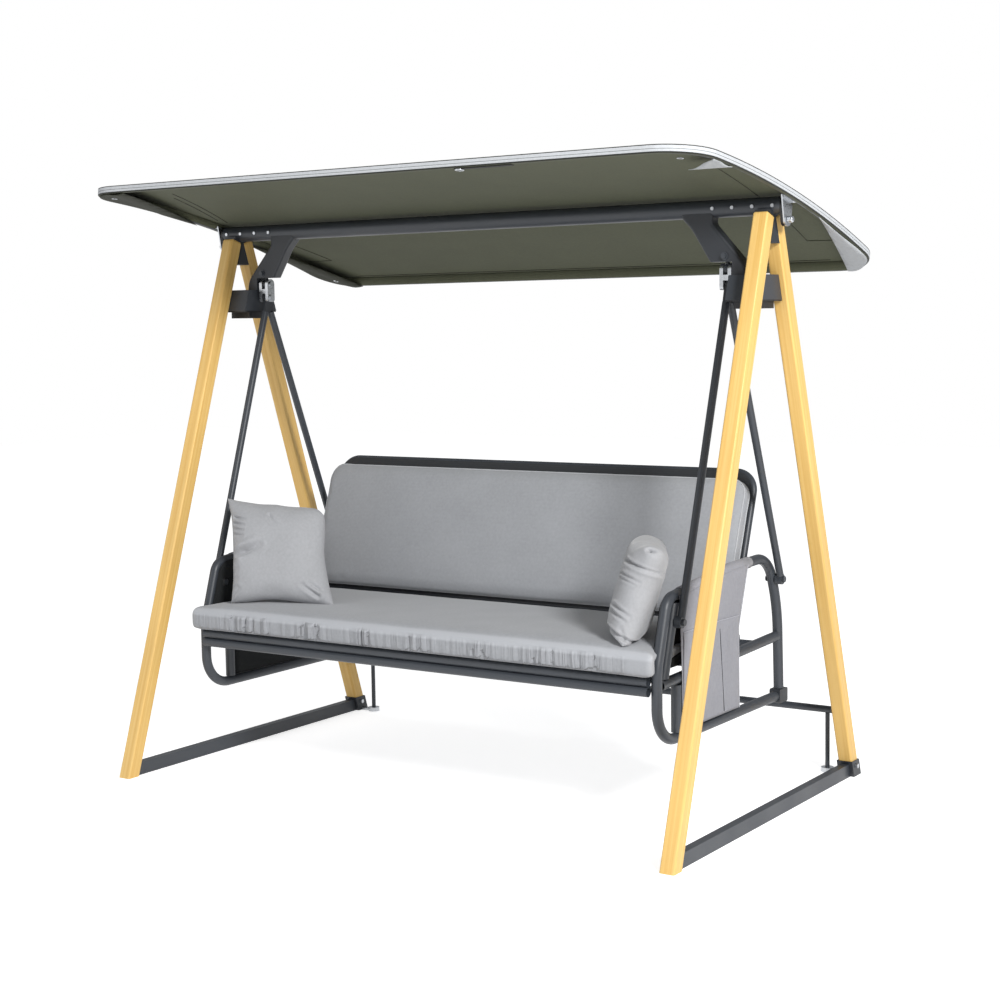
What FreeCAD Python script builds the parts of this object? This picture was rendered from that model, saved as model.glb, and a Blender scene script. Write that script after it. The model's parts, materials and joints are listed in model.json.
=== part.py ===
import FreeCAD, Part
import math
import os
from types import SimpleNamespace

import Sketcher

# Canopy garden swing: a three-seat bench that hangs from a round beam on two wooden A-frames, with a
# reclining backrest and a tilting fabric canopy. Millimetres. X runs along the bench, Y to the back,
# Z up, and the origin is on the floor under the middle of the beam. The right side is built from its
# sizes and the left side is its mirror image.

# Driving dimensions: name, value, and what it measures.
SIZES = (
    ("leg_width", "45", "side of a square wooden leg"),
    ("leg_round", "6", "rounding of a leg's edges"),
    ("stand_half_width", "960", "middle of an A-frame from the centre"),
    ("foot_spread", "578", "middle of a foot from the centre, front to back"),
    ("leg_top_height", "1680", "middle of a leg's top end above the floor"),
    ("apex_gap", "6", "gap between the two legs at their tops"),
    ("beam_radius", "25", "outer radius of the top beam"),
    ("beam_wall", "2", "wall of the top beam"),
    ("beam_height", "1702", "axis of the top beam above the floor"),
    ("beam_half_length", "1005", "end of the beam tube from the centre"),
    ("weld_gap", "0.3", "gap left round a welded or coped joint"),
    ("saddle_length", "44", "length of an apex saddle along the beam"),
    ("saddle_depth", "78", "depth of the saddle's wedge below the leg tops"),
    ("saddle_horn", "9", "height of the saddle's horns above the leg tops"),
    ("cap_thickness", "8", "thickness of a beam end cap"),
    ("cap_spigot", "16", "length of the cap's spigot in the beam"),
    ("cap_lug_radius", "18", "radius of the cap's lower lug"),
    ("pivot_height", "1664", "canopy pivot above the floor"),
    ("pivot_radius", "4", "radius of the canopy pivot bolt"),
    ("pivot_nut_radius", "6.5", "radius of the pivot bolt's inner head"),
    ("running_gap", "0.05", "radial clearance of a pin in its bore"),
    ("side_gap", "1", "free gap between plates that turn past each other"),
    ("tilt_plate", "4", "thickness of a canopy tilt plate"),
    ("tilt_plate_half", "34", "half width of a tilt plate at its top"),
    ("tilt_block_height", "12", "height of the block that joins the plate to the side tube"),
    ("tilt_block_half", "30", "half width of that block"),
    ("knob_radius", "9", "radius of a clamp knob"),
    ("knob_length", "16", "length of a clamp knob"),
    ("knob_wall", "4", "solid end of a clamp knob"),
    ("brace_depth", "44", "brace thickness, front to back"),
    ("brace_round", "9", "rounding of a brace's long edges"),
    ("brace_inner_top", "700", "inner side of the brace at the beam from the centre"),
    ("brace_inner_flare", "706", "inner side of the brace where it leaves the beam"),
    ("brace_flare_height", "1678", "height of that place"),
    ("brace_inner_neck", "737", "inner side of the brace at its neck"),
    ("brace_neck_height", "1645", "height of that neck"),
    ("brace_inner_foot", "792", "inner side of the brace's foot"),
    ("brace_foot_width", "113", "width of the brace's foot"),
    ("brace_hip_step", "5", "how far the brace's hip stands in from its foot"),
    ("brace_hip_height", "1550", "height of that place"),
    ("brace_outer_waist", "800", "outer side of the brace at its waist"),
    ("brace_waist_height", "1662", "height of that waist"),
    ("brace_outer_top", "806", "outer side of the brace at the beam"),
    ("brace_foot_step", "6", "gap between the brace's overhang and the cross box"),
    ("brace_flare", "22", "radius where the brace flares into the beam"),
    ("brace_bend", "150", "radius of the brace's inner bend"),
    ("brace_hip", "60", "radius of the brace's outer bend"),
    ("hang_seat_height", "1556", "underside of the brace over the shackle"),
    ("cross_box_top", "1518", "top of a cross box above the floor"),
    ("cross_box_height", "68", "height of a cross box"),
    ("cross_box_inner", "868", "inner side of a cross box from the centre"),
    ("cross_box_outer", "966", "outer side of a cross box from the centre"),
    ("cross_box_wall", "4", "wall of a cross box"),
    ("cross_base_height", "20", "height of the dark base under a cross box"),
    ("cross_base_inset", "10", "inset of that base from the box's sides"),
    ("hook_side", "839", "middle of a shackle from the centre"),
    ("swing_height", "1535", "swing axis above the floor"),
    ("pin_radius", "6", "radius of a shackle pin"),
    ("eye_radius", "14", "outer radius of a hanging eye"),
    ("eye_thickness", "12", "thickness of a hanging eye along the swing axis"),
    ("stem_radius", "5.5", "radius of the eye's stem"),
    ("stem_rise", "30", "length of the stem inside the brace"),
    ("cross_bolt_radius", "4", "radius of the bolt across the brace"),
    ("cross_bolt_height", "1571", "that bolt above the floor"),
    ("washer_radius", "11", "radius of a washer"),
    ("washer_thickness", "2.5", "thickness of a washer"),
    ("bolt_head_radius", "7", "radius of a bolt head"),
    ("bolt_head_height", "6", "height of a bolt head"),
    ("shackle_width", "36", "shackle width along the swing axis"),
    ("shackle_depth", "34", "shackle depth, front to back"),
    ("shackle_foot", "1478", "lower end of a shackle above the floor"),
    ("shackle_slot", "14", "slot in a shackle"),
    ("lower_pin_height", "1493", "lower shackle pin above the floor"),
    ("pin_head_radius", "9", "radius of a pin head"),
    ("pin_head_height", "4", "height of a pin head"),
    ("apex_plate_radius", "11", "radius of the hanger apex plate round its pin"),
    ("apex_reach", "38", "hanger rods' upper ends from the point where their axes meet"),
    ("rod_radius", "11", "radius of a hanger rod"),
    ("rod_wall", "2", "wall of a hanger rod"),
    ("front_rod_drop", "64", "front rod's bolt below the front loop's top corner"),
    ("rear_rod_drop", "70", "rear rod's bolt below the armrest's rear corner"),
    ("rod_eye_radius", "16", "radius of a rod's flattened lower eye"),
    ("rod_eye_thickness", "20", "thickness of that eye"),
    ("rod_lap", "12", "lower end of a rod's tube from the middle of its eye"),
    ("rod_bolt_radius", "5", "radius of a rod's bolt through the side frame"),
    ("nut_radius", "9", "radius of a dome nut"),
    ("nut_height", "7", "height of a dome nut"),
    ("frame_side", "810", "middle of a bench side frame from the centre"),
    ("tube_radius", "15", "outer radius of a side frame tube"),
    ("tube_wall", "1.6", "wall of the bench tubes"),
    ("front_post", "371", "front post below the seat in front of the swing axis"),
    ("split_front", "236", "where the front loop meets the armrest and the bottom rail"),
    ("loop_top_back", "312", "front loop's top corner in front of the swing axis"),
    ("loop_top_bend", "45", "radius of the front loop's upper bend"),
    ("loop_knee_height", "470", "height where the front post starts to lean back"),
    ("loop_knee_bend", "150", "radius of that bend"),
    ("arm_front_height", "655", "front loop's top corner above the floor"),
    ("arm_mid_height", "692", "armrest height where it levels off"),
    ("arm_mid_back", "60", "that point behind the swing axis"),
    ("arm_rear_back", "312", "armrest rear corner behind the swing axis"),
    ("arm_rear_height", "698", "armrest rear corner above the floor"),
    ("front_bend", "96", "radius of the front loop's lower bend"),
    ("rear_bend", "110", "radius of the armrest's rear bend"),
    ("gentle_bend", "420", "radius of the side frame's gentle bends"),
    ("knee_back", "377", "rear post knee behind the swing axis"),
    ("knee_height", "540", "rear post knee above the floor"),
    ("rear_post_foot", "387", "rear post foot behind the swing axis"),
    ("bottom_rail_height", "268", "bottom rail above the floor"),
    ("connector_depth", "56", "rear connector, front to back"),
    ("connector_height", "42", "rear connector height"),
    ("connector_width", "34", "rear connector width"),
    ("upright_foot", "340", "leaning upright at the seat rail in front of the swing axis"),
    ("upright_top", "268", "leaning upright at the armrest in front of the swing axis"),
    ("lower_upright", "262", "upright below the seat in front of the swing axis"),
    ("seat_rail_front", "427", "seat rail height at the front post"),
    ("seat_rail_rear", "450", "seat rail height at the rear post"),
    ("front_rail_radius", "13.5", "radius of a front rail tube"),
    ("front_rail_back", "389", "front rails in front of the swing axis"),
    ("front_rail_upper", "441", "upper front rail above the floor"),
    ("front_rail_lower", "413.6", "lower front rail above the floor"),
    ("cross_tube_radius", "12.5", "radius of a seat cross tube"),
    ("cross_tube_height", "443", "seat cross tubes above the floor"),
    ("cross_tube_front", "350", "front seat cross tube before the swing axis"),
    ("cross_tube_middle", "100", "middle seat cross tube before the swing axis"),
    ("cross_tube_rear", "240", "rear seat cross tube behind the swing axis"),
    ("sling_thickness", "2.5", "thickness of the woven slings"),
    ("sling_half_width", "784", "half width of the seat sling"),
    ("sling_front", "376", "front edge of the seat sling before the swing axis"),
    ("sling_rear", "96", "rear edge of the seat sling behind the swing axis"),
    ("panel_gap", "0.6", "gap between the side fabrics and the tubes"),
    ("panel_thickness", "1.8", "thickness of a side panel"),
    ("panel_front_top", "270", "panel's front edge at the armrest before the swing axis"),
    ("panel_front_knee", "258", "panel's front edge below the seat before the swing axis"),
    ("panel_knee_height", "432", "height of that place"),
    ("panel_front_foot", "256", "panel's front edge at its foot before the swing axis"),
    ("panel_rear_top", "146", "panel's rear edge at the armrest behind the swing axis"),
    ("panel_rear_knee", "84", "panel's rear edge at the pocket behind the swing axis"),
    ("panel_rear_height", "520", "height of that place"),
    ("panel_rear_foot", "87", "panel's rear edge at its foot behind the swing axis"),
    ("panel_lift", "5", "panel's foot above the bottom rail"),
    ("sleeve_front", "243", "front end of the armrest sleeve before the swing axis"),
    ("sleeve_rear", "180", "rear end of the armrest sleeve behind the swing axis"),
    ("pocket_top", "556", "upper hem of a side pocket above the floor"),
    ("pocket_inset", "3", "pocket inset from the panel's edges"),
    ("pocket_thickness", "1.5", "thickness of an empty side pocket"),
    ("lining_thickness", "2", "thickness of the inner linings"),
    ("lining_rear", "104", "rear edge of the linings behind the swing axis"),
    ("stretcher_height", "40", "height of a base stretcher"),
    ("stretcher_width", "26", "width of a base stretcher"),
    ("stretcher_wall", "2", "wall of a base stretcher"),
    ("shoe_height", "50", "height of a rear shoe"),
    ("shoe_wall", "3", "wall of a rear shoe"),
    ("shoe_floor", "12", "floor of a rear shoe"),
    ("shoe_bolt_height", "32", "shoe bolts above the floor"),
    ("rear_bar_height", "195", "rear stretcher bar above the floor"),
    ("rear_bar_radius", "11", "radius of the rear stretcher bar"),
    ("strut_radius", "7", "radius of a drop strut"),
    ("strut_inset", "74", "drop struts inside the middle of an A-frame"),
    ("pad_radius", "20", "radius of a strut's foot pad"),
    ("pad_height", "14", "height of a strut's foot pad"),
    ("pad_tab_height", "8", "height of the tab that joins a foot pad to its shoe"),
    ("seat_half_width", "789", "half width of the seat cushion between the side frames"),
    ("seat_front", "434", "front of the seat cushion before the swing axis"),
    ("seat_rear", "102", "rear of the seat cushion behind the swing axis"),
    ("seat_thickness", "68", "thickness of the seat cushion at its edges"),
    ("seat_crown", "12", "how far the seat cushion's top swells"),
    ("seat_draw", "6", "how far the seat cushion's front draws in between its corners"),
    ("seat_corner", "16", "rounding of the seat cushion's long edges"),
    ("seat_wing_width", "36", "how far the front lip passes in front of a side frame"),
    ("seat_lift", "0.3", "gap under the seat cushion"),
    ("recline_back", "140", "backrest hinge behind the swing axis"),
    ("recline_height", "475", "backrest hinge above the floor"),
    ("recline_angle", "20", "backrest lean from upright"),
    ("back_side", "774", "backrest side tubes from the centre"),
    ("back_tube_radius", "11", "radius of the backrest tubes"),
    ("back_height", "500", "backrest top tube from the hinge"),
    ("back_bend", "62", "radius of the backrest's upper corners"),
    ("back_eye_radius", "15", "radius of the backrest's hinge eyes"),
    ("hinge_pin_radius", "5", "radius of a backrest hinge pin"),
    ("hinge_plate", "6", "thickness of a backrest hinge plate"),
    ("hinge_plate_half", "18", "half width of a backrest hinge plate"),
    ("hinge_plate_foot", "436", "lower edge of a backrest hinge plate"),
    ("back_cross_rise", "52", "lower backrest tube from the hinge"),
    ("back_cushion_half", "785", "half width of the backrest cushion"),
    ("back_cushion_foot", "46", "lower edge of the backrest cushion from the hinge"),
    ("back_cushion_top", "474", "upper edge of the backrest cushion from the hinge"),
    ("back_cushion_edge", "46", "thickness of the backrest cushion at its edges"),
    ("back_cushion_crown", "18", "how far the backrest cushion's face swells"),
    ("back_cushion_corner", "58", "rounding of the backrest cushion's upper corners"),
    ("back_cushion_round", "14", "rounding of the backrest cushion's edges"),
    ("pillow_swell", "62", "half the thickness of a pillow's middle"),
    ("pillow_edge", "4", "half the thickness of a pillow's seam"),
    ("pillow_draw", "20", "how far a pillow's sides draw in between its corners"),
    ("left_pillow_half", "168", "half the side of the left pillow"),
    ("left_pillow_side", "600", "left pillow's middle left of the centre"),
    ("left_pillow_back", "255", "left pillow's middle before the swing axis"),
    ("left_pillow_height", "696.1", "left pillow's middle above the floor"),
    ("left_pillow_turn", "21", "left pillow's turn about the upright"),
    ("left_pillow_lean", "19", "left pillow's lean from upright"),
    ("right_pillow_half", "146", "half the side of the right pillow"),
    ("right_pillow_side", "692", "right pillow's middle right of the centre"),
    ("right_pillow_back", "255", "right pillow's middle before the swing axis"),
    ("right_pillow_height", "674.1", "right pillow's middle above the floor"),
    ("right_pillow_turn", "-61", "right pillow's turn about the upright"),
    ("right_pillow_lean", "17", "right pillow's lean from upright"),
    ("canopy_overhang", "45", "how far the canopy passes the beam at each end"),
    ("canopy_half_depth", "606", "half depth of the canopy"),
    ("canopy_arch", "4500", "radius of the canopy's arch"),
    ("canopy_slope", "12.5", "slope of the canopy over the beam"),
    ("canopy_clearance", "5", "gap between the beam and the canopy sheet"),
    ("canopy_thickness", "3", "thickness of the canopy sheet"),
    ("canopy_corner", "130", "corner radius of the canopy"),
    ("canopy_tube_radius", "9", "radius of the canopy's tubes"),
    ("canopy_tube_wall", "1.5", "wall of the canopy's tubes"),
    ("canopy_tube_inset", "12", "middle of the canopy's tubes from the sheet's edge"),
    ("canopy_tube_gap", "0.4", "gap between the canopy's tubes and the sheet"),
    ("bow_leg_length", "170", "length of a canopy bow's side legs"),
    ("pocket_reach", "170", "length of a corner pocket's sides under the canopy"),
    ("pocket_fabric", "2", "thickness of a corner pocket"),
    ("grommet_radius", "9", "radius of a canopy grommet"),
    ("grommet_bore", "5", "radius of the hole in a grommet"),
    ("grommet_height", "2", "height of a grommet's rim"),
    ("strap_side", "430", "middle of the tie strap from the canopy's middle"),
    ("strap_half_length", "90", "half length of the tie strap"),
    ("strap_width", "16", "width of the tie strap"),
    ("strap_inset", "4", "middle of the tie strap behind the front bow's bar"),
    ("strap_thickness", "2", "thickness of the tie strap"),
    ("ring_radius", "11", "radius of the tie strap's ring"),
    ("ring_wire", "2", "radius of that ring's wire"),
    ("screw_radius", "5", "radius of a beam screw's head"),
    ("screw_height", "3", "height of a beam screw's head"),
)

doc = FreeCAD.newDocument("garden_swing")
sheet = doc.addObject("Spreadsheet::Sheet", "Sizes")


class Size:
    """A size that keeps its value together with the sheet expression that gives it."""

    def __init__(self, text, value):
        self.text = text
        self.value = value

    def join(self, sign, other, value):
        """Join two sizes, or a size and a plain count, with an arithmetic sign."""
        return Size(f"({self.text} {sign} {as_size(other).text})", value)

    def __add__(self, other):
        return self.join("+", other, self.value + as_size(other).value)

    def __radd__(self, other):
        return as_size(other) + self

    def __sub__(self, other):
        return self.join("-", other, self.value - as_size(other).value)

    def __mul__(self, other):
        return self.join("*", other, self.value * as_size(other).value)

    def __rmul__(self, other):
        return as_size(other) * self

    def __truediv__(self, other):
        return self.join("/", other, self.value / as_size(other).value)

    def __neg__(self):
        return Size(f"(0 - {self.text})", -self.value)


def as_size(number):
    """Take a size as it is, and a count as a size without a name."""
    if isinstance(number, Size):
        return number
    return Size(f"({number})", number)


def root(size):
    """Square root of a size."""
    return Size(f"sqrt({size.text})", math.sqrt(size.value))


def sine(angle):
    """Sine of an angle in degrees."""
    return Size(f"sin({angle.text} * 1 deg)", math.sin(math.radians(angle.value)))


def cosine(angle):
    """Cosine of an angle in degrees."""
    return Size(f"cos({angle.text} * 1 deg)", math.cos(math.radians(angle.value)))


def arc_sine(share):
    """Angle in degrees whose sine is given."""
    return Size(f"(asin({share.text}) / 1 deg)", math.degrees(math.asin(share.value)))


def arc_tangent(rise, run):
    """Angle in degrees of a slope."""
    value = math.degrees(math.atan2(rise.value, run.value))
    return Size(f"(atan2({rise.text}; {run.text}) / 1 deg)", value)


for row, (name, text, note) in enumerate(SIZES, start=1):
    sheet.set(f"A{row}", note)
    sheet.set(f"B{row}", text)
    sheet.setAlias(f"B{row}", name)
doc.recompute()
s = SimpleNamespace(**{name: Size(f"Sizes.{name}", float(text)) for name, text, note in SIZES})
NONE = Size("0", 0.0)
SQUARE_ANGLE = Size("90", 90.0)
ACROSS = FreeCAD.Vector(1, 0, 0)
BACK = FreeCAD.Vector(0, 1, 0)
UP = FreeCAD.Vector(0, 0, 1)


def bind(item, prop, size):
    """Bind a property to the expression of a size."""
    item.setExpression(prop, size.text)


def place(item, x=NONE, y=NONE, z=NONE, axis=None, angle=None):
    """Bind an item's place, and its turn about one axis."""
    turn = FreeCAD.Rotation()
    if angle is not None:
        turn = FreeCAD.Rotation(axis, angle.value)
    item.Placement = FreeCAD.Placement(FreeCAD.Vector(x.value, y.value, z.value), turn)
    bind(item, "Placement.Base.x", x)
    bind(item, "Placement.Base.y", y)
    bind(item, "Placement.Base.z", z)
    if angle is not None:
        item.setExpression("Placement.Rotation.Angle", f"{angle.text} * 1 deg")


def body(label):
    """Start the body of one sub-part."""
    item = doc.addObject("PartDesign::Body", label)
    item.Label = label
    return item


def sketch_on(owner, role, level=NONE):
    """Put a sketch on one of the body's origin planes, moved along the plane's normal."""
    sketch = owner.newObject("Sketcher::SketchObject", f"{owner.Name}_sketch")
    planes = [item for item in owner.Origin.OriginFeatures if item.Role == role]
    sketch.AttachmentSupport = [(planes[0], "")]
    sketch.MapMode = "FlatFace"
    sketch.AttachmentOffset = FreeCAD.Placement(FreeCAD.Vector(0, 0, level.value), FreeCAD.Rotation())
    bind(sketch, "AttachmentOffset.Base.z", level)
    return sketch


def fix_point(sketch, element, position, corner):
    """Tie one point of a sketch to a named place."""
    first, second = sketch.addConstraint([
        Sketcher.Constraint("DistanceX", element, position, corner[0].value),
        Sketcher.Constraint("DistanceY", element, position, corner[1].value),
    ])
    bind(sketch, f"Constraints[{first}]", corner[0])
    bind(sketch, f"Constraints[{second}]", corner[1])


def fix_value(sketch, kind, element, size):
    """Tie one measure of a sketch to a named size."""
    index = sketch.addConstraint(Sketcher.Constraint(kind, element, size.value))
    bind(sketch, f"Constraints[{index}]", size)


def draw_circle(sketch, centre, radius):
    """Draw one circle at a named place."""
    middle = FreeCAD.Vector(centre[0].value, centre[1].value, 0)
    circle = sketch.addGeometry(Part.Circle(middle, UP, radius.value), False)
    fix_point(sketch, circle, 3, centre)
    fix_value(sketch, "Radius", circle, radius)


def corner_points(points, radii, closed):
    """Find where each run leaves the last corner and reaches the next one."""
    spans = []
    total = len(points)
    for index, point in enumerate(points):
        radius = radii[index]
        ends = not closed and index in (0, total - 1)
        if radius is None or ends:
            spans.append((point, point, None))
            continue
        before = (points[index - 1] - point).normalize()
        after = (points[(index + 1) % total] - point).normalize()
        half = before.getAngle(after) / 2
        reach = radius.value / math.tan(half)
        middle = point + (before + after).normalize() * (radius.value / math.sin(half))
        spans.append((point + before * reach, point + after * reach, middle))
    return spans


def draw_runs(sketch, corners, closed=True):
    """Draw straight runs through named corners, each corner rounded where it has a radius."""
    points = [FreeCAD.Vector(corner[0].value, corner[1].value, 0) for corner in corners]
    radii = [corner[2] if len(corner) > 2 else None for corner in corners]
    spans = corner_points(points, radii, closed)
    total = len(points)
    runs = total if closed else total - 1
    lines = []
    for index in range(runs):
        start = spans[index][1]
        finish = spans[(index + 1) % total][0]
        lines.append(sketch.addGeometry(Part.LineSegment(start, finish), False))
    for index in range(total):
        entering = lines[index - 1] if closed or index > 0 else None
        leaving = lines[index] if index < len(lines) else None
        middle = spans[index][2]
        if middle is None:
            if entering is not None and leaving is not None:
                sketch.addConstraint(Sketcher.Constraint("Coincident", entering, 2, leaving, 1))
            if leaving is not None:
                fix_point(sketch, leaving, 1, corners[index])
            else:
                fix_point(sketch, entering, 2, corners[index])
            continue
        first = spans[index][0] - middle
        last = spans[index][1] - middle
        leftward = first.cross(last).z > 0
        start, finish = (first, last) if leftward else (last, first)
        low = math.atan2(start.y, start.x)
        high = math.atan2(finish.y, finish.x)
        if high < low:
            high += 2 * math.pi
        circle = Part.Circle(middle, UP, radii[index].value)
        arc = sketch.addGeometry(Part.ArcOfCircle(circle, low, high), False)
        corner = sketch.addGeometry(Part.Point(points[index]), True)
        fix_point(sketch, corner, 1, corners[index])
        sketch.addConstraint([
            Sketcher.Constraint("PointOnObject", corner, 1, entering),
            Sketcher.Constraint("PointOnObject", corner, 1, leaving),
            Sketcher.Constraint("Tangent", entering, 2, arc, 1 if leftward else 2),
            Sketcher.Constraint("Tangent", leaving, 1, arc, 2 if leftward else 1),
        ])
        fix_value(sketch, "Radius", arc, radii[index])


def slab(owner, role, low, high, draw):
    """Raise an outline between two levels along its plane's normal, adding to the body."""
    sketch = sketch_on(owner, role, (low + high) / 2)
    draw(sketch)
    pad = owner.newObject("PartDesign::Pad", f"{owner.Name}_pad")
    pad.Profile = sketch
    pad.SideType = "Symmetric"
    pad.Length = high.value - low.value
    bind(pad, "Length", high - low)
    return pad


def cut(owner, role, low, high, draw):
    """Cut an outline between two levels out of the body, and make sure that it cuts."""
    doc.recompute()
    before = owner.Shape.Volume
    sketch = sketch_on(owner, role, (low + high) / 2)
    draw(sketch)
    pocket = owner.newObject("PartDesign::Pocket", f"{owner.Name}_pocket")
    pocket.Profile = sketch
    pocket.SideType = "Symmetric"
    pocket.Length = high.value - low.value
    bind(pocket, "Length", high - low)
    doc.recompute()
    if owner.Shape.Volume >= before:
        raise RuntimeError(f"{owner.Label}: a pocket cut nothing")
    return pocket


def round_edges(owner, radius, chosen):
    """Round the edges of the body's last feature that a test picks out."""
    doc.recompute()
    feature = owner.Tip
    names = [f"Edge{i + 1}" for i, edge in enumerate(feature.Shape.Edges) if chosen(edge)]
    fillet = owner.newObject("PartDesign::Fillet", f"{owner.Name}_fillet")
    fillet.Base = (feature, names)
    fillet.Radius = radius.value
    bind(fillet, "Radius", radius)
    return fillet


def pipe_along(item, path, radius, wall):
    """Run a round tube along a path sketch of the body."""
    doc.recompute()
    profile = item.newObject("Sketcher::SketchObject", f"{item.Name}_profile")
    profile.AttachmentSupport = [(path, "Edge1")]
    profile.MapMode = "NormalToEdge"
    draw_circle(profile, (NONE, NONE), radius)
    draw_circle(profile, (NONE, NONE), radius - wall)
    pipe = item.newObject("PartDesign::AdditivePipe", f"{item.Name}_pipe")
    pipe.Profile = profile
    pipe.Spine = (path, [f"Edge{i + 1}" for i in range(len(path.Shape.Edges))])
    return item


def tube(label, role, level, corners, radius, wall):
    """Bend a round tube along straight runs and arcs that lie in one plane."""
    item = body(label)
    path = sketch_on(item, role, level)
    draw_runs(path, corners, closed=False)
    return pipe_along(item, path, radius, wall)


def rod(label, axis, radius, low, high, first=NONE, second=NONE):
    """Make a round rod along X, Y or Z between two places, at two named offsets."""
    item = doc.addObject("Part::Cylinder", label)
    item.Radius = radius.value
    item.Height = high.value - low.value
    bind(item, "Radius", radius)
    bind(item, "Height", high - low)
    if axis == "X":
        place(item, low, first, second, BACK, SQUARE_ANGLE)
    elif axis == "Y":
        place(item, first, low, second, -ACROSS, SQUARE_ANGLE)
    else:
        place(item, first, second, low)
    return item


def fused(label, pieces):
    """Join primitives that are one piece of metal."""
    item = doc.addObject("Part::MultiFuse", label)
    item.Shapes = pieces
    return item


def group(label, pieces):
    """Gather like pieces that stay separate solids in one node."""
    item = doc.addObject("Part::Compound", label)
    item.Links = pieces
    item.Label = label
    return item


def mirrored(label, source, normal=ACROSS):
    """Make the other side's copy of a piece."""
    item = doc.addObject("Part::Mirroring", label)
    item.Source = source
    item.Normal = normal
    item.Label = label
    return item


NODES = []


def keep(*items):
    """List finished sub-parts for export."""
    NODES.extend(items)


def keep_pair(name, right):
    """List a right-hand piece and its left-hand mirror image."""
    keep(right, mirrored(f"{name}_left", right))


def keep_both(name, pieces):
    """List like pieces of both sides as one node."""
    both = pieces + [mirrored(f"{piece.Name}_left", piece) for piece in pieces]
    keep(group(name, both))


# Wooden legs. A leg leans inward as it rises, and its inner face line also places what sits between
# the legs.
top_offset = (s.apex_gap + s.leg_width) / 2
lean_ratio = (s.foot_spread - top_offset) / s.leg_top_height
lean_stretch = root(lean_ratio * lean_ratio + 1)
leg_slice = s.leg_width / 2 * lean_stretch
leg_half_across = s.leg_width / 2 / lean_stretch
leg_half_rise = leg_half_across * lean_ratio


def inner_face(height):
    """Distance of the leg's inner face from the middle at a height."""
    return s.foot_spread - leg_slice - lean_ratio * height


def outer_face(height):
    """Distance of the leg's outer face from the middle at a height."""
    return s.foot_spread + leg_slice - lean_ratio * height


def make_leg(label, sign, foot_height):
    """Square wooden leg with rounded edges, its foot cut level."""
    leg = body(label)
    corners = (
        (sign * outer_face(foot_height), foot_height),
        (sign * (top_offset + leg_half_across), s.leg_top_height + leg_half_rise),
        (sign * (top_offset - leg_half_across), s.leg_top_height - leg_half_rise),
        (sign * inner_face(foot_height), foot_height),
    )
    half = s.leg_width / 2
    slab(leg, "YZ_Plane", s.stand_half_width - half, s.stand_half_width + half,
         lambda sketch: draw_runs(sketch, corners))
    floor = foot_height.value + s.leg_round.value / 2
    round_edges(leg, s.leg_round, lambda edge: edge.BoundBox.ZMax > floor)
    return leg


keep_both("front_legs", [make_leg("front_leg_right", -1, NONE)])
keep_both("rear_legs", [make_leg("rear_leg_right", 1, s.shoe_floor)])


# Top beam: a round tube, its end caps with a lug for the canopy pivot, and its screws.
def make_beam():
    """Round beam that runs over both A-frames."""
    beam = body("top_beam")

    def rings(sketch):
        draw_circle(sketch, (NONE, s.beam_height), s.beam_radius)
        draw_circle(sketch, (NONE, s.beam_height), s.beam_radius - s.beam_wall)

    slab(beam, "YZ_Plane", -s.beam_half_length, s.beam_half_length, rings)
    return beam


def make_end_cap():
    """End cap with a spigot in the beam and a lug that carries the canopy pivot."""
    cap = body("beam_end_cap_right")
    face = s.beam_half_length + s.weld_gap
    spigot = s.beam_radius - s.beam_wall - s.weld_gap
    slab(cap, "YZ_Plane", s.beam_half_length - s.cap_spigot, face + s.cap_thickness / 2,
         lambda sketch: draw_circle(sketch, (NONE, s.beam_height), spigot))
    lug = s.cap_lug_radius - s.weld_gap
    top = s.beam_radius - s.side_gap
    outline = (
        (-s.cap_lug_radius, s.pivot_height - s.cap_lug_radius, lug),
        (s.cap_lug_radius, s.pivot_height - s.cap_lug_radius, lug),
        (s.beam_radius, s.beam_height),
        (s.beam_radius, s.beam_height + s.beam_radius, top),
        (-s.beam_radius, s.beam_height + s.beam_radius, top),
        (-s.beam_radius, s.beam_height),
    )
    slab(cap, "YZ_Plane", face, face + s.cap_thickness, lambda sketch: draw_runs(sketch, outline))
    cut(cap, "YZ_Plane", face - s.cap_thickness, face + s.cap_thickness * 2,
        lambda sketch: draw_circle(sketch, (NONE, s.pivot_height), s.pivot_radius + s.weld_gap / 2))
    return cap


cap_face = s.beam_half_length + s.weld_gap + s.cap_thickness
plate_face = cap_face + s.side_gap
knob_face = plate_face + s.tilt_plate + s.side_gap
bolt_tip = knob_face + s.knob_length - s.knob_wall - s.side_gap


def make_pivot_bolt():
    """Bolt through the end cap's lug, with its head on the inside."""
    inner = s.beam_half_length + s.weld_gap - s.bolt_head_height
    shank = rod("pivot_shank", "X", s.pivot_radius, inner, bolt_tip, NONE, s.pivot_height)
    head_end = inner + s.bolt_head_height
    head = rod("pivot_head", "X", s.pivot_nut_radius, inner, head_end, NONE, s.pivot_height)
    return fused("pivot_bolt_right", [shank, head])


SCREW_SHARES = (0.80, 0.86, 0.92, 0.98)


def make_beam_screws():
    """Small bright screws along the front of the beam near its ends."""
    screws = []
    for number, share in enumerate(SCREW_SHARES):
        low = -s.beam_radius - s.screw_height
        reach = s.beam_half_length * share
        name = f"beam_screw_{number}"
        screws.append(rod(name, "Y", s.screw_radius, low, -s.beam_radius, reach, s.beam_height))
    return screws


keep(make_beam())
keep_both("beam_end_caps", [make_end_cap()])
keep_both("canopy_pivot_bolts", [make_pivot_bolt()])
keep_both("beam_screws", make_beam_screws())


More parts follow.
